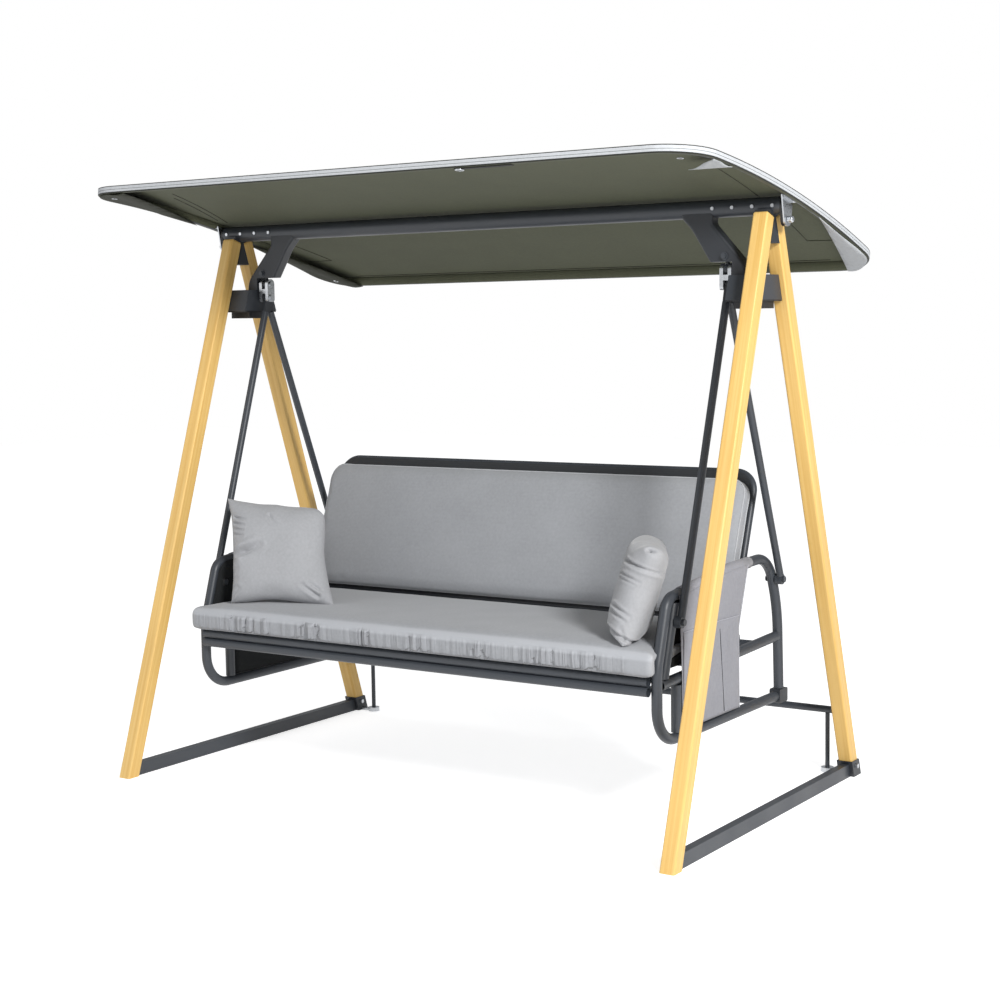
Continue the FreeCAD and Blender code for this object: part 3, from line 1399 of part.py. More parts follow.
def make_hinge_plate():
    """Plate beside the seat rail that holds a hinge pin."""
    plate = body("hinge_plate_right")
    half = s.hinge_plate_half
    outline = (
        (s.recline_back - half, s.hinge_plate_foot),
        (s.recline_back + half, s.hinge_plate_foot),
        (s.recline_back + half, s.recline_height + half, half - s.weld_gap),
        (s.recline_back - half, s.recline_height + half, half - s.weld_gap),
    )
    slab(plate, "YZ_Plane", plate_in, plate_out, lambda sketch: draw_runs(sketch, outline))
    cut(plate, "YZ_Plane", plate_in - s.hinge_plate, plate_out + s.hinge_plate,
        lambda sketch: draw_circle(sketch, (s.recline_back, s.recline_height), s.hinge_pin_radius))
    return plate


def make_hinge_pin():
    """Pin through the plate and the backrest's eye."""
    return rod("hinge_pin_right", "X", s.hinge_pin_radius, pin_start, plate_out,
               s.recline_back, s.recline_height)


def lean_back(item):
    """Set an upright backrest piece on the hinge line at its lean."""
    place(item, NONE, s.recline_back, s.recline_height, ACROSS, -s.recline_angle)


def make_back_frame():
    """Bent tube round the backrest, open at the foot."""
    frame = tube("backrest_frame", "XZ_Plane", NONE, (
        (s.back_side, s.back_eye_radius + s.weld_gap),
        (s.back_side, s.back_height, s.back_bend),
        (-s.back_side, s.back_height, s.back_bend),
        (-s.back_side, s.back_eye_radius + s.weld_gap),
    ), s.back_tube_radius, s.tube_wall)
    lean_back(frame)
    return frame


def make_back_eye():
    """Hinge eye at the foot of a side tube."""
    eye = body("back_eye_right")
    slab(eye, "YZ_Plane", pin_start, back_end,
         lambda sketch: draw_circle(sketch, (NONE, NONE), s.back_eye_radius))
    cut(eye, "YZ_Plane", pin_start - s.back_tube_radius, back_end + s.back_tube_radius,
        lambda sketch: draw_circle(sketch, (NONE, NONE), s.hinge_pin_radius + s.running_gap))
    lean_back(eye)
    return eye


def make_back_cross():
    """Lower tube between the side tubes."""
    end = s.back_side - s.back_tube_radius - s.weld_gap
    cross = tube("backrest_cross_tube", "XZ_Plane", NONE,
                 ((-end, s.back_cross_rise), (end, s.back_cross_rise)),
                 s.back_tube_radius, s.tube_wall)
    lean_back(cross)
    return cross


def make_back_sling():
    """Woven sling stretched on the front of the backrest frame."""
    sling = body("backrest_sling")
    half = s.back_side
    top = s.back_height
    front = s.back_tube_radius + s.weld_gap
    outline = ((-half, s.back_cross_rise), (half, s.back_cross_rise),
               (half, top, s.back_bend), (-half, top, s.back_bend))
    slab(sling, "XZ_Plane", front, front + s.sling_thickness,
         lambda sketch: draw_runs(sketch, outline))
    lean_back(sling)
    return sling


def make_back_cushion():
    """Backrest cushion: crowned face, thinner edges, round upper corners."""
    rear = -(s.back_tube_radius.value + s.weld_gap.value + s.sling_thickness.value + s.weld_gap.value)
    low = s.back_cushion_foot.value
    sections = []
    for share, fullness in SEAT_STATION_SHARES:
        x = share * s.back_cushion_half.value
        bend = 1 - math.sqrt(fullness * (2 - fullness))
        drop = s.back_cushion_corner.value * bend * CORNER_DROP_SHARE
        high = s.back_cushion_top.value - drop
        front = rear - s.back_cushion_edge.value
        c = s.back_cushion_round.value
        swell = s.back_cushion_crown.value * fullness + s.weld_gap.value
        slant = c * SLANT_SHARE

        def at(y, z, x=x):
            return FreeCAD.Vector(x, y, z)

        edges = [
            line_between(at(rear, low), at(rear, high)),
            line_between(at(rear, high), at(front + c, high)),
            arc_between(at(front + c, high), at(front + slant, high - slant), at(front, high - c)),
            arc_between(at(front, high - c), at(front - swell, (low + high) / 2), at(front, low + c)),
            arc_between(at(front, low + c), at(front + slant, low + slant), at(front + c, low)),
            line_between(at(front + c, low), at(rear, low)),
        ]
        sections.append(Part.Wire(edges))
    cushion = doc.addObject("Part::Feature", "backrest_cushion")
    cushion.Shape = Part.makeLoft(sections, True, True)
    lean_back(cushion)
    return cushion


keep_both("hinge_plates", [make_hinge_plate()])
keep_both("hinge_pins", [make_hinge_pin()])
keep(make_back_frame())
keep_both("backrest_hinge_eyes", [make_back_eye()])
keep(make_back_cross())
keep(make_back_sling())
keep(make_back_cushion())


# Loose pillows: square, plump to near their seams, their sides drawn in between the corners.
PILLOW_STATION_SHARES = (-1.0, -0.9, -0.55, 0.0, 0.55, 0.9, 1.0)
CORNER_SWELL_SHARE = 0.2
SHOULDER_SHARE = 0.66
SHOULDER_SWELL_SHARE = 0.84
GROMMET_SHARE = 0.36


def make_pillow(label, half, side, back, height, turn, lean):
    """Pillow that stands on its edge, turned and leaning."""
    edge = s.pillow_edge.value
    draw = s.pillow_draw.value
    sections = []
    for share in PILLOW_STATION_SHARES:
        swell = math.sqrt(1 - share ** 4)
        reach = half.value - draw * (1 - share ** 2)
        share_out = CORNER_SWELL_SHARE + (1 - CORNER_SWELL_SHARE) * swell
        thick = edge + (s.pillow_swell.value - edge) * share_out
        x = share * (half.value - draw / 2)

        def at(y, z, x=x):
            return FreeCAD.Vector(x, y, z)

        sides = []
        for sign in (-1, 1):
            shoulder = sign * (edge + (thick - edge) * SHOULDER_SWELL_SHARE)
            curve = Part.BSplineCurve()
            curve.interpolate([
                at(sign * edge, sign * reach),
                at(shoulder, sign * reach * SHOULDER_SHARE),
                at(sign * thick, 0),
                at(shoulder, -sign * reach * SHOULDER_SHARE),
                at(sign * edge, -sign * reach),
            ])
            sides.append(curve.toShape())
        sections.append(Part.Wire([
            sides[1],
            line_between(at(edge, -reach), at(-edge, -reach)),
            sides[0],
            line_between(at(-edge, reach), at(edge, reach)),
        ]))
    pillow = doc.addObject("Part::Feature", label)
    pillow.Shape = Part.makeLoft(sections, True, True)
    turned = FreeCAD.Rotation(UP, turn.value)
    leaned = FreeCAD.Rotation(ACROSS, -lean.value)
    pillow.Placement = FreeCAD.Placement(
        FreeCAD.Vector(side.value, -back.value, height.value), turned.multiply(leaned))
    return pillow


keep(make_pillow("pillow_left", s.left_pillow_half, -s.left_pillow_side, s.left_pillow_back,
                 s.left_pillow_height, s.left_pillow_turn, s.left_pillow_lean))
keep(make_pillow("pillow_right", s.right_pillow_half, s.right_pillow_side, s.right_pillow_back,
                 s.right_pillow_height, s.right_pillow_turn, s.right_pillow_lean))


# Canopy: an arched sheet on a tube frame. The arch is a circle in the side view, and a place on it is
# named by its angle from the upright.
canopy_half_width = s.beam_half_length + s.canopy_overhang
sheet_floor = s.beam_height + s.beam_radius + s.canopy_clearance
arch_back = -s.canopy_arch * sine(s.canopy_slope)
arch_height = sheet_floor - s.canopy_arch * cosine(s.canopy_slope)
tube_arch = s.canopy_arch - s.canopy_tube_radius - s.canopy_tube_gap
side_tube = canopy_half_width - s.canopy_tube_inset
RADIAN_SHARE = 180 / math.pi


def arch_angle(back):
    """Angle on the tubes' arch of a place before or behind the beam."""
    return arc_sine((back - arch_back) / tube_arch)


def tube_height(back):
    """Height of the side tubes' axis before or behind the beam."""
    return arch_height + tube_arch * cosine(arch_angle(back))


def canopy_cylinder(name, radius):
    """Great cylinder along X that carries one face of the arch."""
    reach = canopy_half_width + s.canopy_corner
    return rod(name, "X", radius, -reach, reach, arch_back, arch_height)


def make_canopy_sheet():
    """Arched sheet with rounded corners."""
    skin = doc.addObject("Part::Cut", "canopy_skin")
    skin.Base = canopy_cylinder("canopy_outer", s.canopy_arch + s.canopy_thickness)
    skin.Tool = canopy_cylinder("canopy_inner", s.canopy_arch)
    plan = body("canopy_plan")
    x = canopy_half_width
    y = s.canopy_half_depth
    r = s.canopy_corner
    slab(plan, "XY_Plane", s.swing_height - r, sheet_floor + r * 2,
         lambda sketch: draw_runs(sketch, ((-x, -y, r), (x, -y, r), (x, y, r), (-x, y, r))))
    fabric = doc.addObject("Part::Common", "canopy_sheet")
    fabric.Base = skin
    fabric.Tool = plan
    return fabric


half_leg_angle = s.bow_leg_length / 2 / tube_arch * RADIAN_SHARE


def bow_angle(sign):
    """Angle on the arch halfway along a bow's side legs."""
    return arch_angle(sign * (s.canopy_half_depth - s.canopy_tube_inset)) - sign * half_leg_angle


def set_on_arch(item, sign):
    """Set a piece drawn flat, with y = 0 on the bow's bar, in the bow's plane."""
    middle = bow_angle(sign)
    half = sign * s.bow_leg_length / 2
    reach = root(tube_arch * tube_arch - half * half)
    place(item, NONE, arch_back + reach * sine(middle) + half * cosine(middle),
          arch_height + reach * cosine(middle) - half * sine(middle), ACROSS, -middle)
    return item


def make_bow(label, sign):
    """Bow of bent tube under the sheet's front or rear edge."""
    bend = s.canopy_corner - s.canopy_tube_inset
    bow = tube(label, "XY_Plane", NONE, (
        (side_tube, -sign * s.bow_leg_length),
        (side_tube, NONE, bend),
        (-side_tube, NONE, bend),
        (-side_tube, -sign * s.bow_leg_length),
    ), s.canopy_tube_radius, s.canopy_tube_wall)
    return set_on_arch(bow, sign)


def make_side_tube():
    """Curved tube between the two bows."""
    item = body("canopy_side_tube_right")
    path = sketch_on(item, "YZ_Plane", side_tube)
    gap = s.weld_gap / tube_arch * RADIAN_SHARE
    front = bow_angle(-1) + half_leg_angle + gap
    rear = bow_angle(1) - half_leg_angle - gap
    middle = FreeCAD.Vector(arch_back.value, arch_height.value, 0)
    circle = Part.Circle(middle, UP, tube_arch.value)
    angles = [math.pi / 2 - math.radians(angle.value) for angle in (rear, front)]
    arc = path.addGeometry(Part.ArcOfCircle(circle, angles[0], angles[1]), False)
    fix_point(path, arc, 3, (arch_back, arch_height))
    fix_value(path, "Radius", arc, tube_arch)
    for position, angle in ((1, rear), (2, front)):
        index = path.addConstraint(Sketcher.Constraint(
            "DistanceX", arc, position, (arch_back + tube_arch * sine(angle)).value))
        bind(path, f"Constraints[{index}]", arch_back + tube_arch * sine(angle))
    return pipe_along(item, path, s.canopy_tube_radius, s.canopy_tube_wall)


def make_tilt_bracket():
    """Plate on the pivot bolt, with a block out to the side tube."""
    bracket = body("tilt_bracket_right")
    lug = s.cap_lug_radius
    half = s.tilt_plate_half
    plate = (
        (-lug, s.pivot_height - lug, lug - s.weld_gap),
        (lug, s.pivot_height - lug, lug - s.weld_gap),
        (half, tube_height(half)),
        (-half, tube_height(-half)),
    )
    slab(bracket, "YZ_Plane", plate_face, plate_face + s.tilt_plate,
         lambda sketch: draw_runs(sketch, plate))
    side = s.tilt_block_half
    rise = s.tilt_block_height / 2
    arm = (
        (-side, tube_height(-side) - rise),
        (side, tube_height(side) - rise),
        (side, tube_height(side)),
        (-side, tube_height(-side)),
    )
    slab(bracket, "YZ_Plane", plate_face, side_tube - s.canopy_tube_radius - s.weld_gap,
         lambda sketch: draw_runs(sketch, arm))
    cut(bracket, "YZ_Plane", plate_face - s.tilt_plate, plate_face + s.tilt_plate * 2,
        lambda sketch: draw_circle(sketch, (NONE, s.pivot_height), s.pivot_radius + s.running_gap))
    return bracket


def make_knob():
    """Round clamp knob, bored from the inside for the pivot bolt."""
    knob = body("tilt_knob_right")
    slab(knob, "YZ_Plane", knob_face, knob_face + s.knob_length,
         lambda sketch: draw_circle(sketch, (NONE, s.pivot_height), s.knob_radius))
    end = (knob_face + s.knob_length).value
    round_edges(knob, s.knob_radius / 2, lambda edge: abs(edge.BoundBox.XMin - end) < s.weld_gap.value)
    cut(knob, "YZ_Plane", knob_face - s.side_gap, knob_face + s.knob_length - s.knob_wall,
        lambda sketch: draw_circle(sketch, (NONE, s.pivot_height), s.pivot_radius + s.running_gap))
    return knob


fabric_level = -(s.canopy_tube_radius + s.weld_gap)


def make_corner_pocket(name, sign):
    """Fabric triangle under one corner of the canopy frame."""
    pocket = body(name)
    edge = s.canopy_tube_inset / 2
    reach = s.pocket_reach
    bend = s.canopy_corner - s.canopy_tube_inset / 2
    outline = (
        (side_tube + edge - reach, sign * edge),
        (side_tube + edge, sign * edge, bend),
        (side_tube + edge, sign * (edge - reach)),
    )
    slab(pocket, "XY_Plane", fabric_level - s.pocket_fabric, fabric_level,
         lambda sketch: draw_runs(sketch, outline))
    return set_on_arch(pocket, sign)


def make_grommet(name, sign):
    """Metal ring on a corner pocket."""
    grommet = body(name)
    inset = s.pocket_reach * GROMMET_SHARE
    at = (side_tube - inset, -sign * inset)

    def rings(sketch):
        draw_circle(sketch, at, s.grommet_radius)
        draw_circle(sketch, at, s.grommet_bore)

    top = fabric_level - s.pocket_fabric
    slab(grommet, "XY_Plane", top - s.grommet_height, top, rings)
    return set_on_arch(grommet, sign)


def make_tie_strap():
    """Flat strap under the front bow."""
    strap = body("tie_strap")
    near = s.strap_inset - s.strap_width / 2
    far = s.strap_inset + s.strap_width / 2
    left = s.strap_side - s.strap_half_length
    right = s.strap_side + s.strap_half_length
    slab(strap, "XY_Plane", fabric_level - s.strap_thickness, fabric_level,
         lambda sketch: draw_runs(sketch, ((left, near), (right, near), (right, far), (left, far))))
    return set_on_arch(strap, -1)


def make_tie_ring():
    """Wire ring sewn under the strap's inner end."""
    ring = body("tie_ring")
    centre = s.strap_side - s.strap_half_length + s.ring_radius + s.ring_wire
    level = fabric_level - s.strap_thickness - s.ring_wire
    sketch = sketch_on(ring, "XZ_Plane", -s.strap_inset)
    draw_circle(sketch, (centre - s.ring_radius, level), s.ring_wire)
    turn = ring.newObject("PartDesign::Revolution", "tie_ring_turn")
    turn.Profile = sketch
    axis = doc.addObject("PartDesign::Line", "tie_ring_axis")
    ring.addObject(axis)
    bind(axis, "Placement.Base.x", centre)
    bind(axis, "Placement.Base.y", s.strap_inset)
    turn.ReferenceAxis = (axis, [""])
    return set_on_arch(ring, -1)


keep(make_canopy_sheet())
keep(group("canopy_bows", [make_bow("bow_front", -1), make_bow("bow_rear", 1)]))
keep_both("canopy_side_tubes", [make_side_tube()])
keep_both("tilt_brackets", [make_tilt_bracket()])
keep_pair("tilt_knob", make_knob())
keep_both("corner_pockets", [make_corner_pocket("corner_pocket_front", -1),
                             make_corner_pocket("corner_pocket_rear", 1)])
keep_both("canopy_grommets", [make_grommet("grommet_front", -1), make_grommet("grommet_rear", 1)])
keep(make_tie_strap())
keep(make_tie_ring())

doc.recompute()
faults = [f"{item.Label} {item.State}" for item in doc.Objects
          if "Invalid" in item.State or "Error" in item.State]
os.makedirs("parts", exist_ok=True)
for item in NODES:
    shape = item.Shape
    if shape.isNull() or not shape.isValid() or not shape.Solids:
        faults.append(f"{item.Label} has no valid solid")
    else:
        shape.exportStep(f"parts/{item.Label}.step")
if faults:
    raise RuntimeError("; ".join(faults))
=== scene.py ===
"""Looks of a canopy garden swing: oiled wood, powder-coated tube, cushions and an arched fabric canopy.

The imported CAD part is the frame. Soft pieces are made here and stand for its plain soft solids, the rest
of its nodes keep their shape and get their finish. Everything is in metres, in the part's own frame.
"""
import json
import math

import bmesh
import bpy
from mathutils import Matrix, Vector, noise


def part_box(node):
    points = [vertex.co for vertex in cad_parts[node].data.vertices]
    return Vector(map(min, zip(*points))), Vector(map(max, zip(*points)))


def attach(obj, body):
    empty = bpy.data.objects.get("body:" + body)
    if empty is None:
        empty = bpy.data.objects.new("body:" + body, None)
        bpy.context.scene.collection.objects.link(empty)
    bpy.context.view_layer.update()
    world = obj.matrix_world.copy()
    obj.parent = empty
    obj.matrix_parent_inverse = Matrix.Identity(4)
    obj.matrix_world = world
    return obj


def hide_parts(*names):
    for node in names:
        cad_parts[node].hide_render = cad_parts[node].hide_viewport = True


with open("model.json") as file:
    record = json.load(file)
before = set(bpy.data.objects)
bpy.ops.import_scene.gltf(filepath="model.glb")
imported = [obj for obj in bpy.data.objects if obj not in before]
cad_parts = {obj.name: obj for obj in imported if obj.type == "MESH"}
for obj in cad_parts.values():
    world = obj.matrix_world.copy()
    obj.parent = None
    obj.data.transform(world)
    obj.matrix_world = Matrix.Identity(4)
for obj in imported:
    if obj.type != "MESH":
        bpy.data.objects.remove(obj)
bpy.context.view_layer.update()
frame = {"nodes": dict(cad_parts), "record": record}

bl_info = {
    "name": "Canopy garden swing",
    "version": (1, 0, 0),
    "blender": (4, 5, 0),
    "location": "View3D > Sidebar > Garden swing",
    "description": "Builds the fabrics, finishes and studio of a canopy garden swing",
    "category": "Object",
}

ACROSS = Vector((1, 0, 0))
BACK = Vector((0, 1, 0))
UP = Vector((0, 0, 1))
MILLIMETRE = 0.001

# How near a place counts as the same, and how many frames the filling takes.
TOUCH = 1e-4
FILLING_FRAMES = 20

# The canopy's plan is a rounded rectangle, and its upper face lies a little above the tubes' arch.
CANOPY_HALF_WIDTH = 1.05
CANOPY_HALF_DEPTH = 0.606
CANOPY_CORNER = 0.13
SHEET_ABOVE = 0.003

# The canopy's arch is a circle in the side view, as the CAD draws it.
ARCH_RADIUS = 4.5
ARCH_SLOPE = math.radians(12.5)
BEAM_TOP = 1.732
ARCH_BACK = -ARCH_RADIUS * math.sin(ARCH_SLOPE)
ARCH_HEIGHT = BEAM_TOP - ARCH_RADIUS * math.cos(ARCH_SLOPE)

# The backrest leans on its hinge line.
HINGE = Vector((0, 0.14, 0.475))
LEAN = Matrix.Translation(HINGE) @ Matrix.Rotation(math.radians(-20), 4, "X")


def linear(code):
    """Linear colour of an sRGB hex value."""
    channels = [int(code[i:i + 2], 16) / 255 for i in (0, 2, 4)]
    return [c / 12.92 if c <= 0.04045 else ((c + 0.055) / 1.055) ** 2.4 for c in channels]


def colour_property(name, description, code):
    """A colour that a user can change, given as an sRGB hex value."""
    return bpy.props.FloatVectorProperty(
        name=name, description=description, subtype="COLOR", size=3, min=0, max=1, default=linear(code))


def length_property(name, description, millimetres):
    """A length that a user can change, given in millimetres."""
    return bpy.props.FloatProperty(
        name=name, description=description, subtype="DISTANCE", unit="LENGTH", min=0,
        default=millimetres * MILLIMETRE)


class SwingColours(bpy.types.PropertyGroup):
    """Colours of the swing's finishes."""

    wood_light: colour_property("Wood, light grain", "Pale early wood under the oil", "F4CC7E")
    wood_dark: colour_property("Wood, dark grain", "Darker late wood under the oil", "E8B964")
    anthracite: colour_property("Powder coat", "Powder-coated steel tube", "3A3E44")
    casting: colour_property("Casting", "Powder-coated cast aluminium", "2B2E33")
    plastic: colour_property("Plastic", "Moulded black plastic", "1B1C1F")
    zinc: colour_property("Zinc", "Zinc-plated steel", "C9CCD0")
    seat: colour_property("Seat fabric", "Woven polyester of the cushions", "A2A4A8")
    pillow: colour_property("Pillow fabric", "Finer woven polyester of the pillows", "A9AAAD")
    piping: colour_property("Piping", "Cord sewn along the backrest cushion's seams", "B9BBBE")
    canopy_outside: colour_property("Canopy outside", "Coated canopy fabric seen from above", "C6C9CC")
    canopy_inside: colour_property("Canopy underside", "Coated underside of the canopy", "5C5F4C")
    panel: colour_property("Side panel", "Grey side panels and pockets", "95959B")
    lining: colour_property("Lining", "Black fabric inside the side frames", "1D1F20")
    sling: colour_property("Sling", "Coated mesh under the cushions", "25272A")
    thread: colour_property("Thread", "Dark sewing thread", "2A2B27")


class SwingSizes(bpy.types.PropertyGroup):
    """Sizes of the sewn pieces."""

    sleeve_depth: length_property("Sleeve depth", "Height of the canopy's edge round its tubes", 20)
    sleeve_return: length_property("Sleeve return", "Where the sleeve meets the sheet again", 34)
    cloth: length_property("Canopy cloth", "Thickness of the canopy's cloth", 1.2)
    seam_width: length_property("Seam width", "Width of a sewn line", 2)
    seat_edge: length_property("Seat edge", "Rounding of the seat cushion's upper front edge", 20)
    piping_radius: length_property("Piping radius", "Radius of the backrest cushion's piping", 2.1)
    seat_voxel: length_property("Seat mesh", "Mesh size of the seat and backrest cushions", 6)
    pillow_swell: length_property("Pillow swell", "Half the thickness of a pillow's middle", 60)
    pillow_draw: length_property("Pillow draw", "How far a pillow's sides draw in between its corners", 20)
    seat_crown: length_property("Seat crown", "How far the seat cushion's top swells", 12)
    back_crown: length_property("Back crown", "How far the backrest cushion's face swells", 17)


# Materials. Each takes its name from the real finish.
def add_node(tree, kind, inputs=None, **settings):
    """Add a node with its settings, and give each input its value or the socket that feeds it."""
    node = tree.nodes.new(kind)
    for name, value in settings.items():
        setattr(node, name, value)
    for name, value in (inputs or {}).items():
        if isinstance(value, bpy.types.NodeSocket):
            tree.links.new(value, node.inputs[name])
        else:
            node.inputs[name].default_value = value
    return node


def new_material(name):
    """An empty material and its tree, with the object's own coordinates."""
    material = bpy.data.materials.new(name)
    material.use_nodes = True
    material.node_tree.nodes.clear()
    place = add_node(material.node_tree, "ShaderNodeTexCoord")
    return material, material.node_tree, place.outputs["Object"]


def close_material(tree, inputs):
    """End a tree with the surface shader."""
    shader = add_node(tree, "ShaderNodeBsdfPrincipled", inputs)
    add_node(tree, "ShaderNodeOutputMaterial", {"Surface": shader.outputs["BSDF"]})


def blended_colour(tree, share, first, second):
    """Colour that goes from the first to the second as the share goes from 0 to 1."""
    mix = add_node(tree, "ShaderNodeMix", {0: share, 6: (*first, 1), 7: (*second, 1)}, data_type="RGBA")
    return mix.outputs[2]


def scaled(colour, factor):
    """A colour made darker or lighter."""
    return [min(1, channel * factor) for channel in colour]


def oiled_pine(name, lean):
    """Oiled pine, planed and rounded: a satin honey surface with fine grain along the leg."""
    material, tree, place = new_material(name)
    colours = bpy.context.scene.swing_colours
    turned = add_node(tree, "ShaderNodeMapping", {"Vector": place, "Rotation": (lean, 0, 0)})
    # Growth rings about 6 mm apart that run half a metre along the leg.
    drawn = add_node(tree, "ShaderNodeMapping", {"Vector": turned.outputs[0], "Scale": (160, 160, 1.8)})
    rings = add_node(tree, "ShaderNodeTexNoise",
                     {"Scale": 1.0, "Detail": 5.0, "Roughness": 0.62, "Distortion": 0.25,
                      "Vector": drawn.outputs[0]})
    # Pores are under 1 mm wide. They are drawn 2 mm wide and 70 mm long, so that they show.
    fine = add_node(tree, "ShaderNodeMapping", {"Vector": turned.outputs[0], "Scale": (520, 520, 14)})
    pores = add_node(tree, "ShaderNodeTexNoise",
                     {"Scale": 1.0, "Detail": 2.0, "Vector": fine.outputs[0]})
    broad = add_node(tree, "ShaderNodeTexNoise", {"Scale": 2.2, "Detail": 2.0, "Vector": place})
    ramp = add_node(tree, "ShaderNodeMapRange",
                    {"From Min": 0.36, "From Max": 0.66, "Value": rings.outputs[0]})
    grain = blended_colour(tree, ramp.outputs[0], colours.wood_light, colours.wood_dark)
    soft = add_node(tree, "ShaderNodeMapRange",
                    {"From Min": 0.3, "From Max": 0.7, "To Min": 0.9, "To Max": 1.04,
                     "Value": broad.outputs[0]})
    toned = add_node(tree, "ShaderNodeMix",
                     {0: 1.0, 6: grain, 7: soft.outputs[0]}, data_type="RGBA", blend_type="MULTIPLY")
    gloss = add_node(tree, "ShaderNodeMapRange",
                     {"From Min": 0.3, "From Max": 0.7, "To Min": 0.42, "To Max": 0.58,
                      "Value": pores.outputs[0]})
    bump = add_node(tree, "ShaderNodeBump",
                    {"Strength": 0.25, "Distance": 0.0004, "Height": pores.outputs[0]})
    close_material(tree,
                   {"IOR": 1.5, "Coat Weight": 0.12, "Coat Roughness": 0.35,
                    "Base Color": toned.outputs[2], "Roughness": gloss.outputs[0],
                    "Normal": bump.outputs[0]})
    return material


def coated_metal(name, colour, roughness, grit, depth):
    """Powder coat on steel or cast aluminium: satin, with fine orange peel."""
    material, tree, place = new_material(name)
    # The peel of a powder coat is 2 to 3 mm across, and grit is how often it comes in a metre.
    peel = add_node(tree, "ShaderNodeTexNoise", {"Scale": grit, "Detail": 3.0, "Vector": place})
    cloud = add_node(tree, "ShaderNodeTexNoise", {"Scale": 7.0, "Detail": 3.0, "Vector": place})
    tone = blended_colour(tree, cloud.outputs[0], scaled(colour, 0.84), scaled(colour, 1.2))
    gloss = add_node(tree, "ShaderNodeMapRange",
                     {"From Min": 0.3, "From Max": 0.7, "To Min": roughness - 0.07,
                      "To Max": roughness + 0.07, "Value": cloud.outputs[0]})
    bump = add_node(tree, "ShaderNodeBump",
                    {"Strength": 0.35, "Distance": depth, "Height": peel.outputs[0]})
    close_material(tree,
                   {"IOR": 1.5, "Base Color": tone, "Roughness": gloss.outputs[0],
                    "Normal": bump.outputs[0]})
    return material


def zinc_plated_steel(name):
    """Zinc-plated steel, bright and a little streaked from tumbling."""
    material, tree, place = new_material(name)
    colour = bpy.context.scene.swing_colours.zinc
    # Streaks some 6 mm across.
    streak = add_node(tree, "ShaderNodeTexNoise",
                      {"Scale": 160.0, "Detail": 4.0, "Distortion": 0.6, "Vector": place})
    tone = blended_colour(tree, streak.outputs[0], scaled(colour, 0.72), scaled(colour, 1.1))
    gloss = add_node(tree, "ShaderNodeMapRange",
                     {"From Min": 0.3, "From Max": 0.7, "To Min": 0.24, "To Max": 0.42,
                      "Value": streak.outputs[0]})
    bump = add_node(tree, "ShaderNodeBump",
                    {"Strength": 0.2, "Distance": 0.0002, "Height": streak.outputs[0]})
    close_material(tree,
                   {"Metallic": 1.0, "Base Color": tone, "Roughness": gloss.outputs[0],
                    "Normal": bump.outputs[0]})
    return material


# Woven finishes: thread spacing as drawn, contrast of the yarns, roughness, sheen and depth of the weave.
WEAVES = {
    "coated_polyester_outside": (0.004, 0.05, 0.72, 0.1, 0.0003),
    "coated_polyester_underside": (0.004, 0.04, 0.8, 0.05, 0.0003),
    "canopy_binding_and_painted_shade": (0.003, 0.2, 0.75, 0.1, 0.0002),
    "gusset_painted_shade": (0.004, 0.05, 0.8, 0.05, 0.0003),
    "gusset_painted_light": (0.004, 0.05, 0.75, 0.05, 0.0003),
    "canopy_sewing_thread": (0.003, 0.2, 0.8, 0.1, 0.0002),
    "woven_polyester_seat": (0.0045, 0.05, 0.86, 0.25, 0.0004),
    "woven_polyester_back": (0.0045, 0.05, 0.86, 0.25, 0.0004),
    "piping_cord_back": (0.004, 0.12, 0.8, 0.2, 0.0004),
    "left_pillow_satin_weave": (0.004, 0.04, 0.8, 0.3, 0.0003),
    "right_pillow_satin_weave": (0.004, 0.04, 0.8, 0.3, 0.0003),
    "woven_polyester_panel": (0.004, 0.06, 0.85, 0.15, 0.0004),
    "woven_polyester_hem": (0.004, 0.06, 0.85, 0.15, 0.0004),
    "woven_polyester_lining": (0.004, 0.15, 0.9, 0.1, 0.0004),
    "polyester_webbing": (0.003, 0.25, 0.8, 0.1, 0.0004),
}


